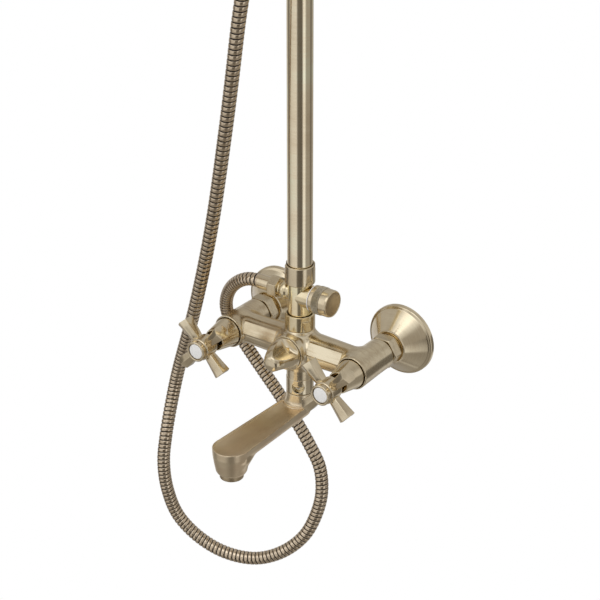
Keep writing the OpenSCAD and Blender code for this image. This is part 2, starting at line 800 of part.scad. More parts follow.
// Root that flares from the collar into the arm, with the pin that turns in the neck
module spout_root() {
  turned([[0, -arm_bottom], [root_r - 2, -arm_bottom], [root_r + 1.4, -arm_top - 4],
    [root_r + 2, -arm_top], [root_r + 0.9, -arm_top + 2], [root_r + 0.2, -arm_top + 5],
    [root_r, -spout_top],
    [spout_pin_r, -spout_top], [spout_pin_r, -spout_pin_top - 1], [0, -spout_pin_top - 1]]);
}

// Web between the arm's underside and the outlet
module outlet_web() {
  hull() {
    translate([-13, -spout_reach + 42, -arm_bottom]) cube([26, 1, 1]);
    translate([0, -spout_reach, -outlet_bottom + 5]) cylinder(r = outlet_r - 1, h = 1, $fn = 32);
    translate([-13, -spout_reach + 4, -arm_bottom]) cube([26, 1, 1]);
  }
}

// Shallow dish in the top of the arm, from the root to the round end
module spout_dish() {
  dish_back = root_r + 6;
  intersection() {
    translate([0, 0, -arm_top - dish_depth]) linear_extrude(dish_depth + 1) spout_plan(dish_rim);
    translate([-50, -spout_reach - 50, -arm_top - 5]) cube([100, spout_reach + 50 - dish_back, 10]);
  }
}

module spout() {
  way_z = -arm_bottom + spout_t / 2;
  color(brass) on_riser() difference() {
    union() {
      spout_root();
      translate([0, 0, -arm_bottom]) linear_extrude(spout_t) spout_plan();
      outlet_barrel();
      outlet_web();
    }
    spout_dish();
    for (z = o_ring_drops) translate([0, 0, -z]) tube(spout_pin_r + 1, o_ring_mid_r - o_ring_t / 2, -1, 1);
    translate([0, 0, -collar_screw_drop])
      tube(spout_pin_r + 1, spout_pin_r - 1, -screw_r - gap, screw_r + gap);
    translate([0, 0, way_z]) cylinder(r = root_way_r, h = arm_bottom);
    translate([0, 0, way_z - 0.4]) rotate([90, 0, 0]) cylinder(r = spout_way_r, h = spout_reach);
    translate([0, -spout_reach, -outlet_bottom - 1])
      cylinder(r = aerator_r - aerator_wall, h = outlet_depth - 6);
  }
}

module spout_o_rings() {
  color(rubber) for (z = o_ring_drops)
    on_riser(-z) rotate_extrude() translate([o_ring_mid_r, 0]) circle(r = o_ring_t / 2, $fn = 24);
}

module aerator() {
  foot = -outlet_bottom - aerator_drop;
  plug_r = aerator_r - aerator_wall;
  color(brass) on_riser() translate([0, -spout_reach, 0]) difference() {
    turned([[0, foot + 1.2], [aerator_r - 2, foot + 1.2], [aerator_r - 2, foot], [aerator_r - 0.5, foot],
      [aerator_r, foot + 0.5], [aerator_r, -outlet_bottom], [plug_r, -outlet_bottom],
      [plug_r, -outlet_bottom + 8], [0, -outlet_bottom + 8]]);
    for (i = [0:aerator_holes - 1]) rotate([0, 0, i * 360 / aerator_holes]) translate([5, 0, foot])
      cylinder(r = 1.6, h = 30, $fn = 16);
  }
}

// ======== diverter tee ========

// Round nut with two spanner notches at its upper edge
module round_nut(h, thread_r, thread_h, lip_r, lip_h, recess_r) {
  difference() {
    turned([[thread_r, 0], [nut_r - 0.5, 0], [nut_r, 0.5], [nut_r, h - 0.5], [nut_r - 0.5, h],
      [recess_r, h], [recess_r, thread_h + lip_h], [lip_r, thread_h + lip_h], [lip_r, thread_h],
      [thread_r, thread_h]]);
    for (a = [0, 180]) rotate([0, 0, notch_turn - 90 + a])
      translate([nut_r - notch_depth, -notch_w / 2, h - notch_h]) cube([10, notch_w, notch_h + 1]);
  }
}

module ring_nut() {
  thread_h = spigot_h + seat_t / 2 + tee_collar_t;
  color(brass) on_riser(body_top)
    round_nut(ring_nut_h, spigot_r + thread_play, thread_h, tee_r + gap, ring_lip_t, nut_r - 1.5);
}

module tee_washer() { color(rubber) on_riser() tube(spigot_r - 0.3, 9, body_top + spigot_h, tee_bottom); }

module diverter_tee() {
  collar_r_in = spigot_r - 0.2;
  color(brass) difference() {
    union() {
      on_riser() turned([[0, tee_bottom], [collar_r_in, tee_bottom],
        [collar_r_in, tee_bottom + tee_collar_t], [tee_r, tee_bottom + tee_collar_t],
        [tee_r, riser_nut_bottom + 1], [spigot_r, riser_nut_bottom + 1],
        [spigot_r, tee_top], [0, tee_top]]);
      sideways(1) cylinder(r = branch_r, h = branch_reach);
      sideways(-1) hose_port();
    }
    on_riser(tee_bottom - 1) cylinder(r = tee_way_r, h = 14);
    on_riser(tee_z) cylinder(r = tee_way_r, h = tee_top - tee_z + 1);
    on_riser(tee_bottom) cylinder(r = port_way_r, h = tee_z - tee_bottom);
    sideways(-1) translate([0, 0, -branch_reach - 1]) cylinder(r = diverter_cart_r, h = branch_reach + 7);
    sideways(-1) cylinder(r = port_way_r, h = port_end + 1);
  }
}

// Rounded outlet for the hose, with its thread
module hose_port() {
  turned([[0, 0], [8.4, 0], [8.6, 11.5], [9.9, 13.5], [10.4, 16], [9.9, 18.5], [8.9, port_shoulder],
    [port_r, port_shoulder], [port_r, port_end], [0, port_end]]);
}

module diverter_cartridge() {
  color(bright) sideways(1) difference() {
    union() {
      translate([0, 0, -6]) cylinder(r = diverter_cart_r, h = branch_reach + 6);
      translate([0, 0, branch_reach]) cylinder(r = diverter_hex_r, h = 6, $fn = 6);
    }
    translate([0, 0, -7]) cylinder(r = diverter_disc_r + gap, h = 8);
    translate([0, 0, -7]) cylinder(r = diverter_spindle_r + run, h = 60);
    translate([-10, 0, 4]) rotate([0, 90, 0]) cylinder(r = 2.4, h = 20);
  }
}

module diverter_washer() {
  color(nylon) sideways(1)
    tube(diverter_r, diverter_hex_r + 0.4, branch_reach, branch_reach + branch_washer_t);
}

module diverter_spindle() {
  color(bright) sideways(1) translate([0, 0, -diverter_disc_t]) {
    cylinder(r = diverter_disc_r, h = diverter_disc_t);
    cylinder(r = diverter_spindle_r, h = diverter_spindle_far + diverter_disc_t);
  }
}

// Round knob with a raised knurled band and a groove beyond it
module diverter_knob() {
  knurl_r = diverter_r + knurl_rise;
  knurl_far = knurl_near + knurl_len;
  groove_r = diverter_r - 0.6;
  color(brass) sideways(1) difference() {
    turned([[0, knob_near], [diverter_r - 0.4, knob_near], [diverter_r, knob_near + 0.4],
      [diverter_r, knurl_near - 0.2], [knurl_r, knurl_near + 0.2], [knurl_r, knurl_far - 0.2],
      [groove_r, knurl_far + 0.2], [groove_r, knurl_far + 0.6], [diverter_r, knurl_far + 1],
      [diverter_r, knob_end - 2], [diverter_r - 0.5, knob_end - 0.3], [diverter_r - 0.8, knob_end],
      [0, knob_end]]);
    translate([0, 0, knob_near - 1]) {
      cylinder(r = diverter_hex_r + 1.2, h = 8);
      cylinder(r = diverter_spindle_r, h = diverter_spindle_far - knob_near + 1);
    }
  }
}

// ======== riser ========

module riser_nut() {
  thread_h = tee_top - riser_nut_bottom + seal_h;
  lip_bore = riser_r + thread_play;
  color(brass) on_riser(riser_nut_bottom)
    round_nut(riser_nut_h, spigot_r + thread_play, thread_h, lip_bore, riser_nut_lip, nut_r - 1.5);
}

module riser_seal() {
  color(rubber) on_riser(tee_top) turned([[riser_r, 0], [spigot_r - 0.1, 0], [spigot_r - 0.1, seal_h - 0.6],
    [riser_r + 0.3, seal_h - 0.1], [riser_r, seal_h - 0.1]]);
}

module riser_pipe() { color(brass) on_riser() tube(riser_r, riser_bore, tee_top, riser_top); }

// ======== hose ========

module hose_nut() {
  color(brass) sideways(-1) translate([0, 0, hose_nut_near]) difference() {
    hex_nut(hose_nut_af, hose_nut_len);
    translate([0, 0, -1]) cylinder(r = port_r + thread_play, h = hose_nut_len - hose_lip + 1);
    cylinder(r = 5.6, h = hose_nut_len + 1);
  }
}

module hose_washer() {
  color(rubber) sideways(-1) tube(port_r - 0.3, hose_bore_r, port_end, port_end + hose_washer_t);
}

module hose_sleeve() {
  flange_from = port_end + hose_washer_t;
  flange_to = hose_nut_far - hose_lip;
  color(brass) sideways(-1) difference() {
    union() {
      translate([0, 0, flange_from]) cylinder(r = port_r - 0.3, h = flange_to - flange_from);
      translate([0, 0, flange_from]) cylinder(r = 5.5, h = hose_nut_far - flange_from + 1);
      translate([0, 0, hose_nut_far]) cylinder(r = sleeve_r, h = sleeve_len);
    }
    translate([0, 0, flange_from - 1]) cylinder(r = hose_bore_r, h = sleeve_end);
  }
}

function unit(v) = v / norm(v);

function heading(p, i) = let (n = len(p) - 1) unit(p[min(i + 1, n)] - p[max(i - 1, 0)]);

// Carries a side vector along the route without twist
function sides_of(p, i = 0, side = [0, 1, 0]) =
  i == len(p) ? []
    : let (t = heading(p, i), s = unit(side - (side * t) * t)) concat([s], sides_of(p, i + 1, s));

module swept_tube(p, r, n) {
  side = sides_of(p);
  m = len(p);
  points = [for (i = [0:m - 1]) let (t = heading(p, i), u = side[i], v = cross(t, u))
    for (j = [0:n - 1]) p[i] + r * (cos(360 * j / n) * u + sin(360 * j / n) * v)];
  walls = [for (i = [0:m - 2]) for (j = [0:n - 1]) let (k = (j + 1) % n)
    [i * n + j, (i + 1) * n + j, (i + 1) * n + k, i * n + k]];
  ends = [[for (j = [0:n - 1]) j], [for (j = [n - 1:-1:0]) (m - 1) * n + j]];
  polyhedron(points, concat(walls, ends), convexity = 10);
}

module shower_hose() { color(brass) swept_tube(hose_route, hose_d / 2, hose_sides); }

// ======== hand shower ========

module hose_cone() {
  color(brass) on_handset() difference() {
    turned([[0, cone_top - cone_len], [hose_d / 2 + 0.8, cone_top - cone_len],
      [cone_small_r, cone_top - cone_len + 1], [cone_small_r, cone_foot_z],
      [cone_big_r, cone_rim_z], [cone_big_r, cone_top], [0, cone_top]]);
    translate([0, 0, cone_top - cone_len - 1]) cylinder(r = hose_bore_r, h = cone_len + 2);
  }
}

module holder_clamp() {
  ear_out = cradle_out - riser_out;
  color(brass) difference() {
    union() {
      on_riser(cradle_z - clamp_h / 2) cylinder(r = clamp_r, h = clamp_h);
      for (x = [-barrel_w / 2 - gap - ear_t, barrel_w / 2 + gap]) translate([x, 0, 0]) {
        on_riser(cradle_z - barrel_r) translate([0, -ear_out, 0]) cube([ear_t, ear_out, 2 * barrel_r]);
        on_riser(cradle_z) translate([0, -ear_out, 0]) rotate([0, 90, 0]) cylinder(r = barrel_r, h = ear_t);
      }
    }
    on_riser(cradle_z - clamp_h / 2 - 1) cylinder(r = riser_r + thread_play, h = clamp_h + 2);
    translate([-barrel_w, -cradle_out, cradle_z]) rotate([0, 90, 0])
      cylinder(r = clamp_pin_r, h = 2 * barrel_w);
    translate([-barrel_w / 2 - gap, -cradle_out - barrel_r - 2, cradle_z - barrel_r - gap])
      cube([barrel_w + 2 * gap, 2 * barrel_r + 3, 2 * barrel_r + 2 * gap]);
  }
}

module holder_pin() {
  pin_half = barrel_w / 2 + gap + ear_t;
  color(steel) translate([-pin_half, -cradle_out, cradle_z]) rotate([0, 90, 0])
    cylinder(r = clamp_pin_r, h = 2 * pin_half);
}

// The cradle's lever, from the hinge pin to the ring, as one flat bar with a round end
module cradle_lever() {
  lever_len = cradle_reach - cone_big_r - ring_wall / 2;
  lever_h = 2 * barrel_r - 2;
  on_pin() translate([-barrel_w / 2, 0, 0]) rotate([90, 0, 90]) linear_extrude(barrel_w) difference() {
    union() {
      circle(r = barrel_r);
      translate([-lever_len, -lever_h / 2]) square([lever_len, lever_h]);
    }
    circle(r = clamp_pin_r + run);
  }
}

module cradle() {
  color(brass) difference() {
    union() {
      on_handset() translate([0, 0, -cradle_h / 2]) cylinder(r = cone_big_r + ring_wall, h = cradle_h);
      cradle_lever();
    }
    on_handset() turned([[0, cone_foot_z], [cone_small_r + run, cone_foot_z],
      [cone_big_r + run, cone_rim_z], [cone_big_r + run, cone_top], [0, cone_top]]);
    on_handset() translate([-cradle_slot_w / 2, -2 * cradle_reach, -cradle_h])
      cube([cradle_slot_w, 2 * cradle_reach, 2 * cradle_h]);
  }
}

// The head's own frame on the hand shower: up is out of its face
module on_handset_head() {
  translate([0, -8, handset_top + 8]) rotate([90 + handset_tilt_head, 0, 0]) children();
}

// Handle, from the cone up to the head
module grip() {
  turned([[0, cone_top], [cone_big_r - 0.5, cone_top], [cone_big_r, cone_top + 0.5],
    [cone_big_r, cone_top + 6], [grip_neck_r, cone_top + 10], [grip_r, cone_top + 45],
    [grip_r + 0.6, cone_top + 75], [grip_r - 1, cone_top + 110], [grip_neck_r - 0.4, cone_top + 135],
    [grip_neck_r + 0.8, cone_top + 140], [grip_neck_r - 0.2, cone_top + 145],
    [grip_neck_r - 0.6, handset_top], [0, handset_top + 6]]);
}

module handset_body() {
  hollow_r = 0.55 * handset_head_r;
  face_r = handset_head_r - 2;
  color(brass) on_handset() difference() {
    union() {
      grip();
      on_handset_head() turned([[0, -14], [10, -14], [hollow_r, -6], [handset_head_r - 3, 8],
        [handset_head_r, 12], [handset_head_r, 17], [0, 17]]);
    }
    on_handset_head() translate([0, 0, handset_face_z]) cylinder(r = face_r, h = 5);
    on_handset_head() translate([0, 0, -2]) cylinder(r = hollow_r, h = 16);
    translate([0, 0, cone_top - 1]) cylinder(r = 5, h = handset_len);
  }
}

module handset_face() {
  ring_step = (handset_head_r - 8) / spray_rings;
  color(bright) on_handset() on_handset_head() translate([0, 0, handset_face_z]) difference() {
    cylinder(r = handset_head_r - 2, h = handset_face_t);
    for (ring = [1:spray_rings]) for (a = [0:360 / (6 * ring):359]) rotate([0, 0, a])
      translate([ring * ring_step, 0, -1]) cylinder(r = spray_hole_r, h = handset_face_t + 2, $fn = 6);
  }
}

// ======== wall bracket ========

module bracket() {
  rod_end = riser_out - riser_r - 1;
  color(brass) difference() {
    union() {
      out(0, bracket_z) turned([[0, 0], [bracket_flange_r, 0], [bracket_flange_r, 3],
        [bracket_flange_r - 1, 4], [bracket_rod_r + 3, 7], [bracket_rod_r, bracket_depth],
        [bracket_rod_r, rod_end], [0, rod_end]]);
      on_riser(bracket_z - bracket_h / 2) turned([[0, 0], [bracket_ring_r - 1, 0], [bracket_ring_r, 1],
        [bracket_ring_r, bracket_h - 1], [bracket_ring_r - 1, bracket_h], [0, bracket_h]]);
    }
    on_riser(bracket_z - bracket_h / 2 - 1) cylinder(r = riser_r + thread_play, h = bracket_h + 2);
    for (s = [-1, 1]) out(0, bracket_z + s * bracket_screw_gap / 2) {
      translate([0, 0, -1]) cylinder(r = wall_screw_neck_r + run, h = 20);
      translate([0, 0, 2.4]) cylinder(r = wall_screw_head_r, h = 10);
    }
  }
}

module bracket_screws() {
  color(steel) for (s = [-1, 1]) out(0, bracket_z + s * bracket_screw_gap / 2) difference() {
    union() {
      translate([0, 0, -wall_screw_len]) cylinder(r = wall_screw_r, h = wall_screw_len);
      translate([0, 0, -gap]) cylinder(r = wall_screw_neck_r, h = 3 + gap);
      translate([0, 0, 2.4]) cylinder(r = wall_screw_head_r - 0.1, h = 2);
    }
    translate([-wall_screw_head_r, -0.5, 3.4]) cube([2 * wall_screw_head_r, 1, 2]);
  }
}

// ======== arm and rain head ========

module arm_nut() {
  nut_from = riser_top - arm_nut_h / 2;
  color(brass) on_riser(nut_from) turned([[riser_r + thread_play, 0], [nut_r - 0.5, 0], [nut_r, 0.5],
    [nut_r, arm_nut_h - 2], [nut_r - 2, arm_nut_h], [arm_pipe_r + thread_play, arm_nut_h],
    [arm_pipe_r + thread_play, arm_nut_h / 2], [riser_r + thread_play, arm_nut_h / 2]]);
}

// Quarter bend of pipe, from the X axis round to the Y axis
module bend(r, wall_r, bore) {
  rotate_extrude(angle = 90) translate([r, 0]) difference() {
    circle(r = wall_r);
    circle(r = bore);
  }
}

module shower_arm() {
  bore = arm_pipe_r - arm_wall;
  rise = arm_top_z - arm_bend_r;
  level_len = arm_reach - arm_bend_r - arm_end_bend_r;
  drop_top = arm_top_z - arm_end_bend_r;
  color(brass) {
    on_riser() tube(arm_pipe_r, bore, riser_top - arm_insert, rise);
    on_riser(rise) translate([0, -arm_bend_r, 0]) rotate([0, 0, 90]) rotate([90, 0, 0])
      bend(arm_bend_r, arm_pipe_r, bore);
    on_riser(arm_top_z) translate([0, -arm_bend_r, 0]) rotate([90, 0, 0])
      tube(arm_pipe_r, bore, 0, level_len);
    translate([0, head_y + arm_end_bend_r, drop_top]) rotate([0, 0, 90]) rotate([90, 0, 0])
      rotate([0, 0, 90]) bend(arm_end_bend_r, arm_pipe_r, bore);
    translate([0, head_y, 0]) tube(arm_pipe_r, bore, arm_end_z, drop_top);
  }
}

module ball_stud() {
  nut_from = arm_end_z - stud_nut_h;
  color(brass) translate([0, head_y, 0]) difference() {
    union() {
      translate([0, 0, nut_from]) hex_nut(stud_nut_af, stud_nut_h + 8);
      translate([0, 0, ball_z]) cylinder(r = ball_neck_r, h = ball_drop + 1);
      translate([0, 0, ball_z]) sphere(r = ball_r);
    }
    translate([0, 0, arm_end_z]) cylinder(r = arm_pipe_r, h = 20);
    translate([0, 0, ball_z - ball_r - 1]) cylinder(r = 3, h = 80);
  }
}

module ball_seat() {
  color(nylon) on_head() intersection() {
    difference() { sphere(r = ball_r + seat_ring_t); sphere(r = ball_r + run); }
    translate([0, 0, -seat_ring_h / 2]) cylinder(r = ball_r + 5, h = seat_ring_h);
  }
}

module head_cavity() { sphere(r = ball_r + seat_ring_t + run); }

module rain_collar() {
  color(brass) on_head() difference() {
    turned([[0, 0], [cup_r, 0], [cup_r, collar_h - 3], [cup_r - 3, collar_h], [0, collar_h]]);
    head_cavity();
  }
}

module rain_head() {
  color(brass) translate([0, head_y, 0]) difference() {
    turned([[0, ball_z - 22], [0, ball_z], [cup_r, ball_z], [cup_r, dome_top], [cup_r + 10, dome_top - 3],
      [head_r * 0.6, dome_top - head_h * 0.4], [head_r - 6, dome_bottom + 3], [head_r, dome_bottom],
      [head_r, dome_bottom - rim_h], [head_r - head_wall, dome_bottom - rim_h],
      [head_r - head_wall, dome_bottom - 1], [head_r * 0.6, dome_top - head_h * 0.4 - 2],
      [cup_r + 8, dome_top - 6], [cup_r - 6, dome_top - 7], [6, ball_z - 22]]);
    translate([0, 0, ball_z]) head_cavity();
    translate([0, 0, ball_z - 40]) cylinder(r = 4, h = 40);
  }
}

module rain_face() {
  face_top = dome_bottom - 1.5;
  color(bright) translate([0, head_y, face_top - face_t]) cylinder(r = head_r - head_wall, h = face_t);
}

wall_unions();
hot_flange();
cold_flange();
union_nuts();
inlet_washers();
inlet_tails();
mixer_body();
hot_headwork();
cold_headwork();
hot_bonnet();
cold_bonnet();
hot_spindle();
hot_handle();
hot_bezel();
hot_index();
hot_handle_screw();
cold_spindle();
cold_handle();
cold_bezel();
cold_index();
cold_handle_screw();
selector_cartridge();
selector_spindle();
selector_knob();
spout_collar();
spout_screw();
spout();
spout_o_rings();
aerator();
ring_nut();
tee_washer();
diverter_tee();
diverter_cartridge();
diverter_washer();
diverter_spindle();
diverter_knob();
riser_nut();
riser_seal();
riser_pipe();
hose_nut();
hose_washer();
hose_sleeve();
shower_hose();
hose_cone();
holder_clamp();
holder_pin();
cradle();
handset_body();
handset_face();
bracket();
bracket_screws();
arm_nut();
shower_arm();
ball_stud();
ball_seat();
rain_head();
rain_collar();
rain_face();
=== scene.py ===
"""Looks of a wall-mounted shower column: bath mixer, spout, diverter, riser, hose, hand shower and rain head.

Shapes are worked out in millimetres and made in metres. The wall is the plane Y = 0, the column stands at
negative Y, +Z is up, and the origin lies between the two inlets.
"""

import json
import math

import bpy
import numpy as np
import openvdb
from mathutils import Matrix, Vector


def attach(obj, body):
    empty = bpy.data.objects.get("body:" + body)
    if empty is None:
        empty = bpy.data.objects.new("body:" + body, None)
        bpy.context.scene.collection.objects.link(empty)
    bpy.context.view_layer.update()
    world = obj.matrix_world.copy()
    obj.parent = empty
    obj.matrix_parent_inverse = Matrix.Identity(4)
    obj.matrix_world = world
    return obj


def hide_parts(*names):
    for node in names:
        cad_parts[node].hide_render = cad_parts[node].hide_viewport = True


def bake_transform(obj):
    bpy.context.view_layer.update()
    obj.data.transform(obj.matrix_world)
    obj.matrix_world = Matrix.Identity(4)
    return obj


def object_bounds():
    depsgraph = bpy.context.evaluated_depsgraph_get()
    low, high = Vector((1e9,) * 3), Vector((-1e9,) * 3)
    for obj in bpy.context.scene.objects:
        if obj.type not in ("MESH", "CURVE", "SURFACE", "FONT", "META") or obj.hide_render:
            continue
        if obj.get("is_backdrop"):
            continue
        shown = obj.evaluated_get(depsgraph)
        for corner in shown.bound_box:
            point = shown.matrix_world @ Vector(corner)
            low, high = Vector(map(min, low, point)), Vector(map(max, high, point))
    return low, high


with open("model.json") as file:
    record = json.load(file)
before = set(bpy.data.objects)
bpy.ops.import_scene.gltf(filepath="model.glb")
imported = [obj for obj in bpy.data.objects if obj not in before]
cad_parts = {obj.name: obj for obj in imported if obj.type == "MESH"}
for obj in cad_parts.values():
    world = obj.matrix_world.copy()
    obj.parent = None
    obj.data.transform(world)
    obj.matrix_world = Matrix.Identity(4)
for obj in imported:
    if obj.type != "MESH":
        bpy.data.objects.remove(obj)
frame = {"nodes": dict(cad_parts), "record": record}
cad_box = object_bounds()

# ---------------------------------------------------------------- sizes, in millimetres
MM = 0.001
INLET_X = 75.0          # from the middle to each inlet
RISER_OUT = 71.5        # from the wall to the riser's axis
HOUSING_BACK = 41.0
HOUSING_FRONT = 91.0
ARM_PLANE = 130.5       # middle of the handles' arms
BOSS_FRONT = 94.5
TEE_Z = 56.5            # height of the tee's side axis
COLLAR_TOP = -33.5
COLLAR_BOTTOM = -50.3
SPOUT_TOP = -62.1
SPOUT_REACH = 114.0
OUTLET_BOTTOM = -90.1
CRADLE_OUT = 99.0
CRADLE_Z = 669.0
CRADLE_REACH = 33.0
LEAN = math.radians(12)
BRACKET_Z = 940.0
ARM_TOP = 1100.0
HEAD_Y = -441.5
HOSE_R = 7.0
HOSE_PITCH = [(0, 4.9), (25, 4.4), (50, 3.6), (95, 3.9), (160, 4.2), (260, 4.6), (440, 4.5), (540, 4.2),
              (620, 4.3), (700, 4.6), (760, 5.0), (840, 5.5)]      # where the wound strip is pressed together


# ---------------------------------------------------------------- places
def place(x, y, z, turn=Matrix.Identity(4)):
    """A piece's own frame, its Z along its axis, with its origin at x, y, z in the row frame."""
    return Matrix.Translation((x, y, z)) @ turn


OUT_TURN = Matrix.Rotation(math.pi / 2, 4, "X")        # local Z points out from the wall
RIGHT_TURN = Matrix.Rotation(math.pi / 2, 4, "Y")      # local Z points to the right
LEFT_TURN = Matrix.Rotation(-math.pi / 2, 4, "Y")      # local Z points to the left

HERE = place(0, 0, 0)
HOT = place(-INLET_X, 0, 0, OUT_TURN)
COLD = place(INLET_X, 0, 0, OUT_TURN)
MIDDLE_OUT = place(0, 0, 0, OUT_TURN)
RISER = place(0, -RISER_OUT, 0)
TEE_RIGHT = place(0, -RISER_OUT, TEE_Z, RIGHT_TURN)
TEE_LEFT = place(0, -RISER_OUT, TEE_Z, LEFT_TURN)
HANDSET = place(0, -CRADLE_OUT, CRADLE_Z, Matrix.Rotation(LEAN, 4, "X")) @ place(0, -CRADLE_REACH, 0)
HANDSET_HEAD = HANDSET @ place(0, -8, 186, Matrix.Rotation(math.radians(115), 4, "X"))
HEAD = place(0, HEAD_Y, 0)


# ---------------------------------------------------------------- shapes: (points, faces) in millimetres
def rounded(profile, closed):
    """Turns each corner (radius, height, rounding) of a profile into a small curve of that size."""
    points = []
    count = len(profile)
    for i, corner in enumerate(profile):
        here = Vector(corner[:2])
        size = corner[2] if len(corner) > 2 else 0
        inside = closed or 0 < i < count - 1
        if not size or not inside:
            points.append(here)
            continue
        before = Vector(profile[i - 1][:2]) - here
        after = Vector(profile[(i + 1) % count][:2]) - here
        cut = min(size, 0.49 * before.length, 0.49 * after.length)
        start = here + before.normalized() * cut
        end = here + after.normalized() * cut
        for step in range(6):
            t = step / 5
            points.append(start * (1 - t) ** 2 + here * (2 * t * (1 - t)) + end * t ** 2)
    return points


def surface(rings, closed_rings=False, caps=False):
    """Joins rings with the same number of points into one skin."""
    rings = np.asarray(rings, float)
    count, around = rings.shape[:2]
    faces = []
    for i in range(count if closed_rings else count - 1):
        a, b = i * around, ((i + 1) % count) * around
        for j in range(around):
            k = (j + 1) % around
            faces.append((a + j, a + k, b + k, b + j))
    if caps:
        faces.append(tuple(range(around))[::-1])
        faces.append(tuple((count - 1) * around + j for j in range(around)))
    return rings.reshape(-1, 3), faces


def lathe(profile, closed=False, around=96):
    """Solid of revolution about local Z. A profile that is not closed runs from the axis to the axis."""
    points = rounded(profile, closed)
    angle = np.arange(around) * 2 * math.pi / around
    rings = [np.stack([r * np.cos(angle), r * np.sin(angle), np.full(around, h)], 1) for r, h in points]
    return surface(rings, closed_rings=closed)


def moved(shape, matrix):
    """The shape in another frame."""
    points, faces = shape
    m = np.array(matrix)
    return points @ m[:3, :3].T + m[:3, 3], faces


def joined(*shapes):
    """Several shapes as one."""
    points, faces, start = [], [], 0
    for p, f in shapes:
        points.append(p)
        faces += [tuple(i + start for i in face) for face in f]
        start += len(p)
    return np.concatenate(points), faces


# ---------------------------------------------------------------- shapes from distance fields
def grid(low, high, step):
    """Coordinates of a block of space, as three arrays that fit together."""
    axes = [np.arange(a, b + step, step) for a, b in zip(low, high)]
    return np.meshgrid(*axes, indexing="ij", sparse=True)


def skin(field, low, step):
    """The surface where a distance field is zero."""
    band = 4 * step
    volume = openvdb.FloatGrid(band)
    volume.copyFromArray(np.clip(field, -band, band).astype(np.float32))
    points, triangles, quads = volume.convertToPolygons(isovalue=0.0, adaptivity=0.0)
    faces = [tuple(f) for f in quads] + [tuple(f) for f in triangles]
    return points.astype(float) * step + np.array(low, float), faces


def both(a, b, size=0.0):
    """Union with a fillet of about that size, which can be an array."""
    size = np.maximum(size, 1e-6)
    near = np.maximum(size - np.abs(a - b), 0) / size
    return np.minimum(a, b) - near ** 2 * size / 4


def within(a, b, size=0.0):
    """Intersection with a rounded edge of about that size."""
    return -both(-a, -b, size)


def without(a, b, size=0.0):
    """Difference with a rounded edge of about that size."""
    return within(a, -b, size)


def round_bar(across_a, across_b, along, radius, start, end, edge=0.0):
    """Bar of round section between two places on its axis. The radius can be an array."""
    body = np.sqrt(across_a ** 2 + across_b ** 2) - radius
    return within(body, np.maximum(start - along, along - end), edge)


def hexagon(x, y, across_flats):
    """Distance from a hexagon with two corners on the X axis."""
    half = across_flats / 2
    slope = math.sqrt(3) / 2
    return np.maximum(np.abs(y), np.maximum(np.abs(x * slope + y / 2), np.abs(x * slope - y / 2))) - half


def hex_nut(across_flats, start, end, bore=0.0, step=0.4):
    """Nut with its corners turned off at both ends and softly rounded edges."""
    reach = across_flats / math.sqrt(3) + 2
    low, high = (-reach, -reach, start - 2), (reach, reach, end + 2)
    x, y, z = grid(low, high, step)
    middle, half = (start + end) / 2, (end - start) / 2
    radius = np.sqrt(x ** 2 + y ** 2)
    beyond = np.abs(z - middle) - half
    turned = (radius - across_flats / 2 - 0.1) * 0.5 + beyond * 0.866
    field = within(within(hexagon(x, y, across_flats), beyond, 0.9), turned, 0.7)
    if bore:
        field = without(field, radius - bore, 0.7)
    return skin(field, low, step)


# ---------------------------------------------------------------- materials
def node_tree(name):
    material = bpy.data.materials.new(name)
    material.use_nodes = True
    tree = material.node_tree
    return material, tree, tree.nodes["Principled BSDF"]


def add(tree, kind, **settings):
    node = tree.nodes.new(kind)
    for key, value in settings.items():
        if key in node.inputs:
            node.inputs[key].default_value = value
        else:
            setattr(node, key, value)
    return node


def stretched(tree, scale):
    """Object coordinates, in metres, scaled along each of the piece's own axes."""
    coordinates = add(tree, "ShaderNodeTexCoord")
    mapping = add(tree, "ShaderNodeMapping")
    mapping.inputs["Scale"].default_value = scale
    tree.links.new(coordinates.outputs["Object"], mapping.inputs["Vector"])
    return mapping.outputs["Vector"]


def noise(tree, vector, scale, detail=3.0, roughness=0.6):
    node = add(tree, "ShaderNodeTexNoise", Scale=scale, Detail=detail, Roughness=roughness)
    tree.links.new(vector, node.inputs["Vector"])
    return node.outputs["Fac"]


def ramp(tree, value, stops):
    node = add(tree, "ShaderNodeValToRGB")
    elements = node.color_ramp.elements
    while len(elements) < len(stops):
        elements.new(0.5)
    for element, (position, colour) in zip(elements, stops):
        element.position = position
        element.color = (*colour, 1) if len(colour) == 3 else colour
    tree.links.new(value, node.inputs["Fac"])
    return node.outputs["Color"]


def multiplied(tree, a, b):
    mix = add(tree, "ShaderNodeMix", data_type="RGBA", blend_type="MULTIPLY")
    mix.inputs["Factor"].default_value = 1.0
    tree.links.new(a, mix.inputs[6])
    tree.links.new(b, mix.inputs[7])
    return mix.outputs[2]


def bumped(tree, shader, height, strength, distance):
    bump = add(tree, "ShaderNodeBump", Strength=strength, Distance=distance)
    tree.links.new(height, bump.inputs["Height"])
    tree.links.new(bump.outputs["Normal"], shader.inputs["Normal"])


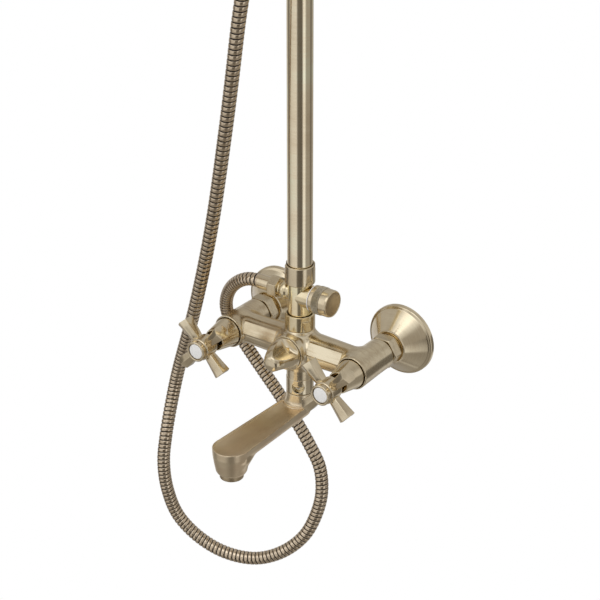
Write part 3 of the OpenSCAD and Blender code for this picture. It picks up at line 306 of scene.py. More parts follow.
def brushed_metal(name, light, dark, rough=(0.11, 0.2), brush=(60, 60, 2600), strength=0.1, painted_edge_light_and_shade=True,
                  crevice_shade_reach=0.002):
    """Metal with fine brushed lines, a faint patina, painted highlights on its edges and painted shade in its
    hollows and crevices.

    The lines lie across the axis on which brush is largest.
    """
    material, tree, shader = node_tree(name)
    shader.inputs["Metallic"].default_value = 1.0
    lines = noise(tree, stretched(tree, brush), 1.0, 4.0, 0.7)
    cloud = noise(tree, stretched(tree, (1, 1, 1)), 30.0, 3.0, 0.55)
    blend = add(tree, "ShaderNodeMix", data_type="FLOAT")
    blend.inputs["Factor"].default_value = 0.55
    tree.links.new(lines, blend.inputs["A"])
    tree.links.new(cloud, blend.inputs["B"])
    mixed = blend.outputs["Result"]
    tone = ramp(tree, mixed, [(0.36, dark), (0.6, light)])
    # painted shade: the base colour is darkened where ambient occlusion finds nearby surfaces, in crevices
    # and corners
    if crevice_shade_reach:
        hidden = add(tree, "ShaderNodeAmbientOcclusion", samples=8, Distance=crevice_shade_reach)
        shade = ramp(tree, hidden.outputs["AO"], [(0.15, (0.3, 0.24, 0.16)), (0.6, (1, 1, 1))])
        tone = multiplied(tree, tone, shade)
    # painted highlight and painted shade: pointiness lightens convex edges above their colour and darkens
    # hollows
    if painted_edge_light_and_shade:
        corners = add(tree, "ShaderNodeNewGeometry").outputs["Pointiness"]
        edge_shading_tone = ramp(tree, corners, [(0.38, (0.5, 0.44, 0.35)), (0.46, (1, 1, 1)),
                                    (0.53, (1, 1, 1)), (0.6, (1.3, 1.33, 1.38))])
        tone = multiplied(tree, tone, edge_shading_tone)
    tree.links.new(tone, shader.inputs["Base Color"])
    gloss = add(tree, "ShaderNodeMapRange")
    gloss.inputs["From Min"].default_value = 0.3
    gloss.inputs["From Max"].default_value = 0.7
    gloss.inputs["To Min"].default_value = rough[1]
    gloss.inputs["To Max"].default_value = rough[0]
    tree.links.new(mixed, gloss.inputs["Value"])
    tree.links.new(gloss.outputs["Result"], shader.inputs["Roughness"])
    bumped(tree, shader, lines, strength, 0.0001)
    return material


def plastic(name, light, dark, rough):
    """Moulded plastic or enamel with a faint mottle."""
    material, tree, shader = node_tree(name)
    cloud = noise(tree, stretched(tree, (1, 1, 1)), 90.0, 4.0, 0.6)
    tree.links.new(ramp(tree, cloud, [(0.35, dark), (0.65, light)]), shader.inputs["Base Color"])
    shader.inputs["Roughness"].default_value = rough
    bumped(tree, shader, noise(tree, stretched(tree, (1, 1, 1)), 900.0), 0.05, 0.0001)
    return material


def hose_metal(name, light, dark, line):
    """Ridged metal with painted shade in its grooves. U runs along the hose, one unit to a ridge."""
    material, tree, shader = node_tree(name)
    shader.inputs["Metallic"].default_value = 1.0
    coordinates = add(tree, "ShaderNodeTexCoord")
    parts = add(tree, "ShaderNodeSeparateXYZ")
    tree.links.new(coordinates.outputs["UV"], parts.inputs["Vector"])
    phase = add(tree, "ShaderNodeMath", operation="FRACT")
    tree.links.new(parts.outputs["X"], phase.inputs[0])
    cloud = noise(tree, stretched(tree, (1, 1, 1)), 160.0, 3.0, 0.6)
    tone = ramp(tree, cloud, [(0.35, dark), (0.65, light)])
    # painted shade: near-black lines at each ridge's borders stand in for the shade in the grooves between
    # turns
    groove_shade_mask = ramp(tree, phase.outputs["Value"], [(0.0, (1, 1, 1)), (0.09, (1, 1, 1)), (0.16, (0, 0, 0)),
                                                 (0.84, (0, 0, 0)), (0.91, (1, 1, 1))])
    mix = add(tree, "ShaderNodeMix", data_type="RGBA")
    tree.links.new(groove_shade_mask, mix.inputs["Factor"])
    tree.links.new(tone, mix.inputs[6])
    mix.inputs[7].default_value = (*line, 1)
    tree.links.new(mix.outputs[2], shader.inputs["Base Color"])
    shader.inputs["Roughness"].default_value = 0.15
    bumped(tree, shader, cloud, 0.08, 0.0001)
    return material


BRASS_LIGHT, BRASS_DARK = (0.84, 0.74, 0.535), (0.68, 0.56, 0.38)
turned_brass = brushed_metal("brass_turned", BRASS_LIGHT, BRASS_DARK)
cast_brass = brushed_metal("brass_cast", BRASS_LIGHT, (0.60, 0.48, 0.31), (0.16, 0.28), brush=(14, 300, 300),
                           strength=0.02, painted_edge_light_and_shade=False)
spout_brass = brushed_metal("brass_spout", (0.90, 0.78, 0.56), (0.76, 0.61, 0.42), (0.28, 0.36),
                            brush=(60, 4, 60), strength=0.003, painted_edge_light_and_shade=False, crevice_shade_reach=0)
nut_brass = brushed_metal("brass_nut", (0.76, 0.66, 0.47), (0.50, 0.42, 0.29), (0.12, 0.2),
                          brush=(14, 300, 300), strength=0.02)
golden_brass = brushed_metal("brass_golden", (0.87, 0.76, 0.515), (0.74, 0.61, 0.385))
# painted shade: the knurled band's darker, greyer tone stands in for the shade in its grooves
knurl_brass = brushed_metal("brass_knurled", (0.66, 0.60, 0.47), (0.48, 0.43, 0.32), brush=(300, 300, 300))
dark_brass = brushed_metal("brass_dark", (0.60, 0.49, 0.32), (0.42, 0.33, 0.21), (0.3, 0.42))
inner_brass = brushed_metal("brass_bare", (0.70, 0.52, 0.25), (0.52, 0.38, 0.18), (0.3, 0.45))
steel = brushed_metal("steel", (0.62, 0.61, 0.58), (0.45, 0.44, 0.42), (0.25, 0.4))
white_enamel = plastic("white_enamel", (0.93, 0.93, 0.91), (0.88, 0.88, 0.86), 0.18)
nylon = plastic("white_nylon", (0.90, 0.88, 0.87), (0.80, 0.78, 0.77), 0.45)
rubber = plastic("rubber", (0.035, 0.035, 0.035), (0.02, 0.02, 0.02), 0.6)
# the last colour is the near-black painted shade of the hose's grooves
hose_brass = hose_metal("hose_brass", (0.80, 0.67, 0.50), (0.62, 0.51, 0.37), (0.02, 0.02, 0.022))


# ---------------------------------------------------------------- pieces
def piece(name, shape, at, material, node, body, sharp=32):
    """Makes the shape's mesh in its own frame, and lets it stand for a CAD node on a body."""
    points, faces = shape
    mesh = bpy.data.meshes.new(name)
    mesh.from_pydata((points * MM).tolist(), [], faces)
    mesh.validate()
    obj = bpy.data.objects.new(name, mesh)
    bpy.context.scene.collection.objects.link(obj)
    tidy(mesh, sharp)
    mesh.materials.append(material)
    turn = at.copy()
    turn.translation = at.translation * MM
    obj.matrix_world = turn
    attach(obj, body)
    if node:
        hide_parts(node)
    return obj


def tidy(mesh, sharp):
    """Merges doubled points, turns faces outwards and keeps edges over the given angle sharp."""
    import bmesh
    work = bmesh.new()
    work.from_mesh(mesh)
    bmesh.ops.remove_doubles(work, verts=work.verts, dist=1e-6)
    bmesh.ops.recalc_face_normals(work, faces=work.faces)
    work.to_mesh(mesh)
    work.free()
    mesh.shade_smooth()
    mesh.set_sharp_from_angle(angle=math.radians(sharp))


def brass(name, shape, at, body="column", material=turned_brass, sharp=32):
    """A brass piece that stands for the CAD node of the same name."""
    return piece("visual_" + name, shape, at, material, name, body, sharp)


# ---- inlets
FLANGE = [(35.4, 0), (36.8, 0), (36.8, 4.4, 1.6), (33.8, 5.5, 0.8), (17.3, 23.2, 0.5), (17.2, 24.4, 0.4),
          (15.6, 24.4, 0.3), (15.4, 23.2), (13.6, 23.0), (13.6, 21.6), (16.0, 21.2), (32.4, 3.6)]
for side, at in (("hot", HOT), ("cold", COLD)):
    brass(side + "_flange", lathe(FLANGE, closed=True, around=160), at)
union = hex_nut(30, 27, 39, bore=11.5)
brass("union_nuts", joined(moved(union, HOT), moved(union, COLD)), HERE, material=nut_brass)


# ---- mixer body
def mixer_body(step=0.55):
    """Two valve housings, a cross bar, the centre boss and the neck, cast in one with soft fillets."""
    low, high = (-95, -97, -45), (95, -38, 24)
    x, y, z = grid(low, high, step)
    out = -y - RISER_OUT
    wall = -y
    housing_r = 16 + np.clip((wall - 56) / 33, 0, 1)
    side = np.abs(x) - INLET_X
    housings = round_bar(side, z, wall, housing_r, HOUSING_BACK, HOUSING_FRONT, 1.0)
    bar_r = 17.2 - 1.5 * np.clip(np.abs(x) / 60, 0, 1)
    bar = round_bar(out, z - 0.4, x, bar_r, -INLET_X, INLET_X)
    upright_r = np.interp(z, [-24, -17.5, -13, 12, 17, 21], [12.7, 15.0, 17.4, 17.4, 15.4, 14.8])
    upright = round_bar(x, out, z, upright_r, -COLLAR_TOP - 75.5, 20.5, 0.8)
    boss = round_bar(x, z, out, 18.5, -10, BOSS_FRONT - RISER_OUT, 0.8)
    neck = round_bar(x, out, z, 12.7, COLLAR_TOP, -10)
    field = both(housings, bar, 5)
    field = both(field, both(both(upright, neck, 3), boss, 3), 4)
    recess = round_bar(side, z, wall, 15.5, HOUSING_FRONT - 3, HOUSING_FRONT + 9)
    field = without(field, recess, 0.5)
    return skin(field, low, step)


def pad(start, length, width, lift, seat):
    """Raised pad with sloping borders along X, whose foot is at a distance seat from the bar's axis."""
    def loop(inset, height):
        a, b, half = start + inset, start + length - inset, width / 2 - inset
        return [(a, -half, height), (b, -half, height), (b, half, height), (a, half, height)]
    rings = [loop(0, seat - 3), loop(0, seat), loop(1.4, seat + lift), loop(1.9, seat + lift)]
    return surface(rings, caps=True)


PAD_TURN = place(0, -RISER_OUT, 0.4) @ Matrix.Rotation(math.radians(90 - 28), 4, "X")
pads = [moved(pad(s, 41.0, 15.0, 1.5, 15.5), PAD_TURN) for s in (19.0, -60.0)]
brass("mixer_body", joined(mixer_body(), *pads), HERE, material=cast_brass, sharp=24)

# ---- valves and handles
BONNET = [(13.7, 88), (14.9, 88), (14.9, 92.6, 1.5), (11.3, 113.2, 0.8), (10.9, 114, 0.3), (10.1, 114, 0.2),
          (10.0, 112), (13.5, 94)]
HUB = [(0, 109), (8, 109), (8, 117, 1.5), (9.0, 120.5, 1.5), (11.3, 123.2, 1.5), (11.6, 127, 2),
       (11.6, 138.3, 0.8), (10.6, 139.2, 0.2), (0, 139.4)]
BEZEL = [(0, 139.2), (10.1, 139.2), (10.7, 140.0, 0.4), (10.7, 144.0, 0.7), (9.4, 144.6, 0.4),
         (8.6, 144.3, 0.3), (8.4, 142.6), (0, 142.5)]
INDEX = [(0, 142.4), (7.8, 142.4), (7.8, 143.4, 0.4), (6.8, 143.9, 0.5), (0, 144.1)]


def handle_arm():
    """Arm with flat flanks and a ridge to the front and the back, which widens up to the arms' circle."""
    tip_circle = 33.2
    rings = []
    for t in (0.0, 0.35, 0.7, 1.0):
        reach = 7 + t * (tip_circle - 7)
        half_w = 4.3 + t * 2.45
        flank = 3.3 + t * 1.9
        ridge = flank + 2.5 + t * 1.2
        section = [(half_w, flank), (0, ridge), (-half_w, flank),
                   (-half_w, -flank), (0, -ridge), (half_w, -flank)]
        rings.append([(math.sqrt(tip_circle ** 2 - w * w) if t == 1 else reach, w, ARM_PLANE + d)
                      for w, d in section])
    return surface(rings, caps=True)


def softened(shape, size, segments=2):
    """The shape with its edges bevelled."""
    import bmesh
    points, faces = shape
    work = bmesh.new()
    corners = [work.verts.new(p) for p in points]
    for face in faces:
        work.faces.new([corners[i] for i in face])
    bmesh.ops.recalc_face_normals(work, faces=work.faces)
    sharp = [e for e in work.edges if e.calc_face_angle(0) > math.radians(20)]
    bmesh.ops.bevel(work, geom=sharp, offset=size, segments=segments, profile=0.6, affect="EDGES")
    work.verts.index_update()
    result = np.array([v.co[:] for v in work.verts]), [tuple(v.index for v in f.verts) for f in work.faces]
    work.free()
    return result


arms = [moved(softened(handle_arm(), 0.55), Matrix.Rotation(math.radians(bearing), 4, "Z"))
        for bearing in (45, 135, 225, 315)]
for side, at in (("hot", HOT), ("cold", COLD)):
    valve = side + "_valve"
    brass(side + "_bonnet", lathe(BONNET, closed=True), at)
    brass(side + "_handle", joined(lathe(HUB), *arms), at, valve)
    brass(side + "_bezel", lathe(BEZEL), at, valve)
    piece("visual_%s_index" % side, lathe(INDEX), at, white_enamel, side + "_index", valve)


# ---- selector knob
def selector_knob(steps=110):
    """Bullet with three wide leaf-shaped hollows between three narrow ribs."""
    base, front = 95.0, 123.5
    heights = [95.0, 98.5, 103.5, 108.5, 114.5, 119.0, 121.6, 123.0, 123.5]
    radii = [17.2, 17.1, 16.4, 14.9, 12.3, 9.8, 7.8, 5.6, 0.0]
    h = base + (front - base) * np.linspace(0, 1, steps) ** 0.9
    outline = np.interp(h, heights, radii)
    for _ in range(6):
        outline[1:-1] = (outline[:-2] + 2 * outline[1:-1] + outline[2:]) / 4
    outline[-1] = 0
    reach = h - base
    run_out = 7.7 * (1 - np.sqrt(1 - (np.clip(4 - reach, 0, 3) / 3) ** 2))
    cutter = 24.0
    centre = (cutter + 9.5 - 0.055 * (reach - 6) + run_out)[:, None]
    radius = outline[:, None]
    meets = (radius ** 2 + centre ** 2 - cutter ** 2) / np.maximum(2 * radius * centre, 1)
    leaf = np.arccos(np.clip(np.where(radius > centre - cutter, meets, 1), -1, 1))
    leaf = np.maximum(leaf, 0.01)
    across = np.linspace(-1, 1, 33)[None]
    beyond = np.linspace(0, 1, 12)[None, 1:-1]
    away = np.concatenate([leaf * across, leaf + (2 * math.pi / 3 - 2 * leaf) * beyond], 1)
    inside = cutter ** 2 - (centre * np.sin(away)) ** 2
    cut = centre * np.cos(away) - np.sqrt(np.maximum(inside, 0))
    cut = np.where((inside > 0) & (np.abs(away) < math.radians(58)), cut, 99)
    carved = np.where(leaf > 0.02, both(radius, cut, 0.5), radius)
    carved = np.minimum(carved, radius)
    rings = []
    for row, angles, z in zip(carved, away, h):
        angle = np.concatenate([angles + math.radians(turn) for turn in (60, 180, 300)])
        r = np.tile(row, 3)
        rings.append(np.stack([r * np.cos(angle), r * np.sin(angle), np.full(len(r), z)], 1))
    foot = rings[0] * (16.0 / 17.2, 16.0 / 17.2, 1)
    return surface([foot, *rings])


brass("selector_knob", selector_knob(), MIDDLE_OUT, "selector", sharp=20)


# ---- spout and its collar
def spout(step=0.5):
    """Arm with a dished top, a flared root under the collar and a tapered outlet under its round end."""
    low, high = (-22, -210, -94), (22, -52, -48)
    x, y, z = grid(low, high, step)
    u = -y - RISER_OUT
    outlet_r = np.interp(z, [-90.1, -89, -87, -79, -70, -62], [13.4, 14.4, 15.5, 17.0, 18.3, 18.6])
    half = 15 + (outlet_r - 15) * np.clip(u / SPOUT_REACH, 0, 1)
    tip = np.sqrt(x ** 2 + (u - SPOUT_REACH) ** 2) - outlet_r
    plan = np.where(u < SPOUT_REACH, np.maximum(np.abs(x) - half, -6 - u), tip)
    back = np.sqrt(x ** 2 + (u - 7) ** 2) - 15.2
    plan = np.where(u < 7, back, plan)
    arm = within(within(plan, SPOUT_TOP - 13 - z, 7), u - SPOUT_REACH)
    outlet = round_bar(x, u - SPOUT_REACH, z, outlet_r, OUTLET_BOTTOM, 0, 0.8)
    fillet = 0.6 + 8.4 * np.clip((SPOUT_TOP - 7 - z) / 5, 0, 1)
    field = within(both(arm, outlet, fillet), z - SPOUT_TOP, 0.8)
    root_r = np.interp(z, [-66, -62, -60.5, -58.5, -56, -53], [16.4, 15.6, 14.9, 14.3, 13.95, 13.8])
    root = round_bar(x, u, z, root_r, SPOUT_TOP - 12, -50.6, 0.5)
    root = within(root, -70 - z + 0.25 * np.sqrt(x ** 2 + u ** 2), 3)
    dish_plan = np.maximum(plan + 1.7, 16.5 - np.sqrt(x ** 2 + u ** 2))
    hollow = np.clip(-(plan + 1.7) / 13, 0, 1)
    dish = within(dish_plan, SPOUT_TOP - 1.2 - 1.4 * hollow * (2 - hollow) - z, 0.5)
    field = without(field, dish, 0.4)
    return skin(both(field, root, 2.5), low, step)


brass("spout", spout(), HERE, "bath_spout", spout_brass, sharp=40)


def spout_collar(step=0.35):
    """Collar with the round recess of its screw."""
    low, high = (-15, -87, -52), (15, -56, -32)
    x, y, z = grid(low, high, step)
    out = -y - RISER_OUT
    field = round_bar(x, out, z, 13.8, COLLAR_BOTTOM, COLLAR_TOP, 0.8)
    turn = math.radians(27)
    along = x * math.sin(turn) + out * math.cos(turn)
    across = x * math.cos(turn) - out * math.sin(turn)
    hole = round_bar(across, z + 41.8, along, 6.0, 7.0, 20.0)
    return skin(without(field, hole, 0.5), low, step)


brass("spout_collar", spout_collar(), HERE, sharp=40)
AERATOR = [(9.6, -94.2), (9.8, -95.6, 0.2), (11.3, -95.6, 0.4), (11.8, -95.0, 0.3),
           (11.8, OUTLET_BOTTOM), (9.6, OUTLET_BOTTOM)]
GAUZE = [(0, -94.0), (9.7, -94.0), (9.7, -92.0), (0, -92.0)]
brass("aerator", joined(lathe(AERATOR, closed=True), lathe(GAUZE)), place(0, -RISER_OUT - SPOUT_REACH, 0),
      "bath_spout", dark_brass)


# ---- nuts and tee on the riser's axis
def round_nut(bottom, top, bearing, step=0.35):
    """Round nut with a deep mouth at its top and two spanner flats, one at a bearing from the front."""
    low, high = (-16.5, -88.5, bottom - 1.5), (16.5, -54.5, top + 1.5)
    x, y, z = grid(low, high, step)
    out = -y - RISER_OUT
    field = round_bar(x, out, z, 15.05, bottom, top, 0.8)
    field = without(field, round_bar(x, out, z, 13.25, top - 3.6, top + 9), 0.4)
    turn = math.radians(bearing)
    along = np.abs(x * math.sin(turn) + out * math.cos(turn))
    across = np.abs(x * math.cos(turn) - out * math.sin(turn))
    flat = np.maximum(np.maximum(13.8 - along, across - 4.2), top - 5.0 - z)
    field = without(field, flat, 0.2)
    return skin(without(field, round_bar(x, out, z, 12.3, bottom - 9, top + 9)), low, step)


brass("ring_nut", round_nut(20.5, 36.8, 61), HERE, material=golden_brass, sharp=40)
brass("riser_nut", round_nut(70.0, 89.7, 118), HERE, sharp=40)
TEE_TUBE = [(0, 29.6), (12.1, 29.6), (12.1, 74), (0, 74)]
BRANCH = [(0, 0), (11.9, 0), (11.9, 17, 0.3), (0, 17)]
HOSE_PORT = [(0, 0), (8.3, 0), (8.4, 10.2, 0.5), (8.9, 11.6, 1.0), (10.3, 14.2, 2.0), (10.3, 17.2, 2.0),
             (8.7, 20.5, 0.4), (8.2, 20.6), (8.2, 24), (0, 24)]
tee = joined(lathe(TEE_TUBE), *(moved(lathe(p), place(0, 0, TEE_Z, t))
                                for p, t in ((BRANCH, RIGHT_TURN), (HOSE_PORT, LEFT_TURN))))
brass("diverter_tee", tee, RISER, material=golden_brass)
WASHER = [(10.2, 17.0), (13.6, 17.0, 0.1), (13.6, 17.8, 0.1), (10.2, 17.8)]
piece("visual_diverter_washer", lathe(WASHER, closed=True), TEE_RIGHT, nylon, "diverter_washer", "column")


def knurl(start, end, radius, depth, count=58, around=464, steps=26):
    """Band with a diamond pattern that is pressed into it."""
    x = np.linspace(start, end, steps)
    angle = np.arange(around) * 2 * math.pi / around
    turn = angle[None] * count / (2 * math.pi)
    lead = (x[:, None] - start) / (2 * math.pi * radius / count)
    a = np.abs((turn + lead) % 1 - 0.5) * 2
    b = np.abs((turn - lead) % 1 - 0.5) * 2
    r = radius - depth * (1 - np.minimum(a, b)) ** 1.5
    fade = np.clip(np.minimum(x - start, end - x) / 0.5, 0, 1)[:, None]
    r = r * fade + (radius - depth) * (1 - fade)
    rings = [np.stack([q * np.cos(angle), q * np.sin(angle), np.full(around, h)], 1) for q, h in zip(r, x)]
    return surface(rings)


KNOB = [(0, 18.1), (13.4, 18.1), (13.8, 18.6, 0.2), (13.8, 22.2, 0.1), (13.5, 22.4), (13.5, 30.0),
        (13.3, 30.1), (13.3, 30.5), (13.8, 30.7, 0.1), (13.8, 37.6, 0.4), (13.2, 39.3, 0.4),
        (12.9, 39.6, 0.2), (12.3, 39.5, 0.1), (12.1, 39.1), (0, 39.1)]
KNOB_FACE = [(0, 38.0), (12.0, 38.0), (12.0, 39.2, 0.2), (6, 39.35), (0, 39.4)]
brass("diverter_knob", lathe(KNOB, around=128), TEE_RIGHT, "diverter")
piece("visual_diverter_face", lathe(KNOB_FACE), TEE_RIGHT, dark_brass, "", "diverter")
piece("visual_diverter_knurl", knurl(22.3, 30.1, 14.4, 0.8), TEE_RIGHT, knurl_brass, "", "diverter",
      sharp=20)
RISER_PIPE = [(0, 78), (12.5, 78), (12.5, 1000), (0, 1000)]
brass("riser_pipe", lathe(RISER_PIPE, around=160), RISER)

# ---- hose
ROUTE = [
    (-49, -71.5, 56.5), (-54, -71.5, 56.4), (-63, -71, 54.8), (-76, -69, 48), (-90, -65, 35), (-99, -61, 20),
    (-103, -57, 5), (-101, -54, -9), (-95, -51, -21), (-84, -49, -37), (-64, -47, -61), (-44, -45.5, -84),
    (-24, -45, -108), (-6, -45, -132), (6, -45, -153), (11, -48, -179), (8, -53, -205), (-2, -61, -232),
    (-22, -72, -254), (-49, -83, -267), (-81, -93, -267), (-110, -101, -255), (-133, -108, -232),
    (-143, -113, -200), (-147, -113, -168), (-148, -107, -140), (-150, -85, -83), (-116, -91, 18),
    (-85, -101, 118), (-58, -111, 228), (-46, -115, 285), (-35, -118, 343), (-24, -118, 401),
    (-14, -117, 459), (-6, -115.8, 515), (-1.5, -115.8, 560), (0, -118.2, 599), (0, -120.6, 611.5),
    (0, -124.1, 628.6),
]


def smooth_line(points, per_span=16):
    """Curve through all the points, with even turns between them."""
    p = np.array(points, float)
    p = np.vstack([2 * p[0] - p[1], p, 2 * p[-1] - p[-2]])
    line = []
    for i in range(1, len(p) - 2):
        a, b, c, d = p[i - 1:i + 3]
        k0, k1, k2 = (np.linalg.norm(v) ** 0.5 for v in (b - a, c - b, d - c))
        m1 = (c - b) + k1 * ((b - a) / k0 - (c - a) / (k0 + k1))
        m2 = (c - b) + k1 * ((d - c) / k2 - (d - b) / (k1 + k2))
        for s in range(per_span):
            t = s / per_span
            line.append((2 * t ** 3 - 3 * t ** 2 + 1) * b + (t ** 3 - 2 * t ** 2 + t) * m1
                        + (3 * t ** 2 - 2 * t ** 3) * c + (t ** 3 - t ** 2) * m2)
    line.append(p[-2])
    return np.array(line)


def spaced(line, per_ridge):
    """The line with an equal number of points to each turn of the strip, and the turns at each point."""
    along = np.concatenate([[0], np.cumsum(np.linalg.norm(np.diff(line, axis=0), axis=1))])
    pitch = np.interp(along, *zip(*HOSE_PITCH))
    turns = np.concatenate([[0], np.cumsum(np.diff(along) * 2 / (pitch[1:] + pitch[:-1]))])
    count = np.append(np.arange(0, turns[-1], 1 / per_ridge), turns[-1])
    return np.stack([np.interp(count, turns, line[:, k]) for k in range(3)], 1), count


def frames(line):
    """Direction and two sides at each point, carried along the line without twist."""
    ahead = np.gradient(line, axis=0)
    ahead /= np.linalg.norm(ahead, axis=1)[:, None]
    side = np.eye(3)[np.argmin(np.abs(ahead[0]))]
    sides = []
    for t in ahead:
        side = side - np.dot(side, t) * t
        side /= np.linalg.norm(side)
        sides.append(side)
    sides = np.array(sides)
    return ahead, sides, np.cross(ahead, sides)


def ridged_hose(line, around=24, per_ridge=9):
    """Tube wound from a strip with a rounded back, and the count of turns at each point of each ring."""
    centre, count = spaced(line, per_ridge)
    _, u, v = frames(centre)
    share = np.arange(around) / around
    turns = count[:, None] - share[None]
    away = np.abs(turns % 1 - 0.5) * 2
    radius = HOSE_R - 0.1 - 0.22 * away ** 2 - 0.85 * np.clip((away - 0.68) / 0.32, 0, 1) ** 1.3
    angle = share * 2 * math.pi
    rings = centre[:, None] + radius[..., None] * (
        np.cos(angle)[None, :, None] * u[:, None] + np.sin(angle)[None, :, None] * v[:, None])
    return surface(rings, caps=True), turns


hose_line = smooth_line(ROUTE)
hose_shape, hose_turns = ridged_hose(hose_line)


def hose():
    """The hose's object, which bends between the column and the hand shower."""
    points, faces = hose_shape
    mesh = bpy.data.meshes.new("visual_shower_hose")
    mesh.from_pydata((points * MM).tolist(), [], faces)
    mesh.shade_smooth()
    layer = mesh.uv_layers.new(name="along")
    around = hose_turns.shape[1]
    sides = (len(hose_turns) - 1) * around
    ring, side = np.divmod(np.arange(sides), around)
    corner_ring = np.stack([ring, ring, ring + 1, ring + 1], 1)
    corner_side = np.stack([side, side + 1, side + 1, side], 1)
    count = hose_turns[corner_ring, 0] - corner_side / around
    uv = np.zeros((len(mesh.loops), 2), np.float32)
    uv[:4 * sides] = np.stack([count, corner_side / around], 2).reshape(-1, 2)
    layer.data.foreach_set("uv", uv.ravel())
    mesh.materials.append(hose_brass)
    obj = bpy.data.objects.new("visual_shower_hose", mesh)
    bpy.context.scene.collection.objects.link(obj)
    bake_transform(obj)
    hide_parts("shower_hose")
    return obj


hose_object = hose()
brass("hose_nut", hex_nut(20.5, 22.8, 33.8, bore=6.5, step=0.35), TEE_LEFT, material=cast_brass)
SLEEVE = [(0, 33.4), (7.1, 33.4), (7.3, 34.2, 0.3), (7.35, 47.0, 0.3), (7.4, 48.8, 0.4), (0, 48.8)]
brass("hose_sleeve", lathe(SLEEVE), TEE_LEFT)
CONE = [(0, -34), (7.8, -34), (9.2, -33, 0.3), (9.2, -28, 0.6), (11.6, 7, 0.8), (11.6, 13, 0.5), (0, 13)]
brass("hose_cone", lathe(CONE), HANDSET, "hand_shower")
tuple(c * MM for c in ROUTE[0])


# ---- holder, cradle and hand shower
def holder_clamp(step=0.6):
    """Clamp on the riser with two ears for the hinge pin."""
    low, high = (-20, -108, CRADLE_Z - 15), (20, -52, CRADLE_Z + 15)
    x, y, z = grid(low, high, step)
    out = -y - RISER_OUT
    up = z - CRADLE_Z
    clamp = round_bar(x, out, up, 17.9, -13, 13, 2.0)
    ear = np.abs(np.abs(x) - 9.3) - 2.0
    reach = CRADLE_OUT - RISER_OUT
    knuckle = np.sqrt((out - reach) ** 2 + up ** 2) - 7
    bar = np.maximum(np.abs(up) - 7, np.maximum(-out, out - reach))
    ears = within(np.minimum(knuckle, bar), ear, 1.0)
    field = both(clamp, ears, 2.0)
    return skin(without(field, round_bar(x, out, up, 12.4, -30, 30)), low, step)


def cradle(step=0.6):
    """Open ring round the hose's cone, on a lever from the hinge pin."""
    low, high = (-17, -18, -11), (17, CRADLE_REACH + 9, 11)
    x, y, z = grid(low, high, step)
    ring = round_bar(x, y, z, 14.7, -9, 9, 1.5)
    lever = within(np.maximum(np.abs(z) - 6, np.maximum(8 - y, y - CRADLE_REACH)), np.abs(x) - 7, 1.2)
    barrel = round_bar(y - CRADLE_REACH, z, x, 7, -7, 7, 0.8)
    field = both(both(ring, lever, 2.0), barrel, 0.8)
    bore = np.sqrt(x ** 2 + y ** 2) - np.clip(9.2 + (z + 28) * 2.4 / 35, 9.2, 11.6) - 0.1
    slot = np.maximum(np.abs(x) - 7.6, y)
    return skin(without(without(field, bore), slot, 1.0), low, step)


brass("holder_clamp", holder_clamp(), HERE, material=cast_brass, sharp=40)
brass("cradle", cradle(), HANDSET, "hand_shower", cast_brass, sharp=40)
GRIP = [(0, 13), (11.2, 13), (11.6, 13.6, 0.3), (11.6, 19, 1.0), (9.2, 23.5, 2.0), (9.6, 34, 6),
        (11.5, 58, 12), (12.1, 88, 14), (10.5, 123, 14), (8.9, 148, 3), (10.0, 152.5, 1.5), (9.0, 157.5, 1.5),
        (8.6, 178), (0, 184)]
SPRAY_HEAD = [(0, -14), (9.5, -14, 4), (22, -6, 8), (36.8, 7.6, 5), (40, 12, 1.5), (40, 17, 1.0),
              (38.2, 17, 0.4), (38.0, 14.8), (0, 14.8)]
spray_head = moved(lathe(SPRAY_HEAD, around=128), HANDSET.inverted() @ HANDSET_HEAD)
brass("handset_body", joined(lathe(GRIP), spray_head), HANDSET, "hand_shower")


def nozzle_plate(radius, low, high, tip, rings, spacing):
    """Round plate with rings of small soft nozzles on its upper face."""
    plate = lathe([(0, low), (radius, low), (radius, high, 0.3), (0, high)], around=128)
    nozzle = lathe([(0, high - 0.2), (1.5, high - 0.2), (1.2, high + 0.5 * tip, 0.2), (0.9, high + tip, 0.2),
                    (0, high + tip)], around=12)
    nozzles = []
    for ring in range(rings + 1):
        count = max(1, 6 * ring)
        for a in np.arange(count) * 2 * math.pi / count:
            spot = place(ring * spacing * math.cos(a), ring * spacing * math.sin(a), 0)
            nozzles.append(moved(nozzle, spot))
    return plate, joined(*nozzles)


plate, nozzles = nozzle_plate(37.9, 13.0, 15.0, 1.2, 4, 8.2)
piece("visual_handset_face", plate, HANDSET_HEAD, dark_brass, "handset_face", "hand_shower")
piece("visual_handset_nozzles", nozzles, HANDSET_HEAD, rubber, "", "hand_shower")

# ---- wall bracket
BRACKET = [(0, 0), (29, 0), (29, 3.2, 0.8), (27.8, 4.2, 0.8), (11, 6.8, 3), (7, 13, 3), (7, 58), (0, 58)]
RING = [(0, -11), (17.5, -11, 1.2), (17.5, 11, 1.2), (0, 11)]
bracket = joined(moved(lathe(BRACKET), place(0, 0, BRACKET_Z, OUT_TURN)),
                 moved(lathe(RING), place(0, -RISER_OUT, BRACKET_Z)))
brass("bracket", bracket, HERE)

# ---- arm
ARM_NUT = [(0, 990), (15.0, 990, 0.6), (15.05, 1008, 0.6), (13, 1010, 0.5), (0, 1010)]
brass("arm_nut", lathe(ARM_NUT), RISER)


def arm_line():
    """Middle of the gooseneck: up, a wide bend to the front, level, and a bend down to the rain head."""
    first, last = 70.0, 55.0
    a = np.linspace(0, math.pi / 2, 40)
    rise = [(0, -RISER_OUT, 1002)]
    over = np.stack([0 * a, -RISER_OUT - first + first * np.cos(a), ARM_TOP - first + first * np.sin(a)], 1)
    down = np.stack([0 * a, HEAD_Y + last - last * np.sin(a), ARM_TOP - last + last * np.cos(a)], 1)
    return np.concatenate([rise, over, down, [(0, HEAD_Y, 1023)]])


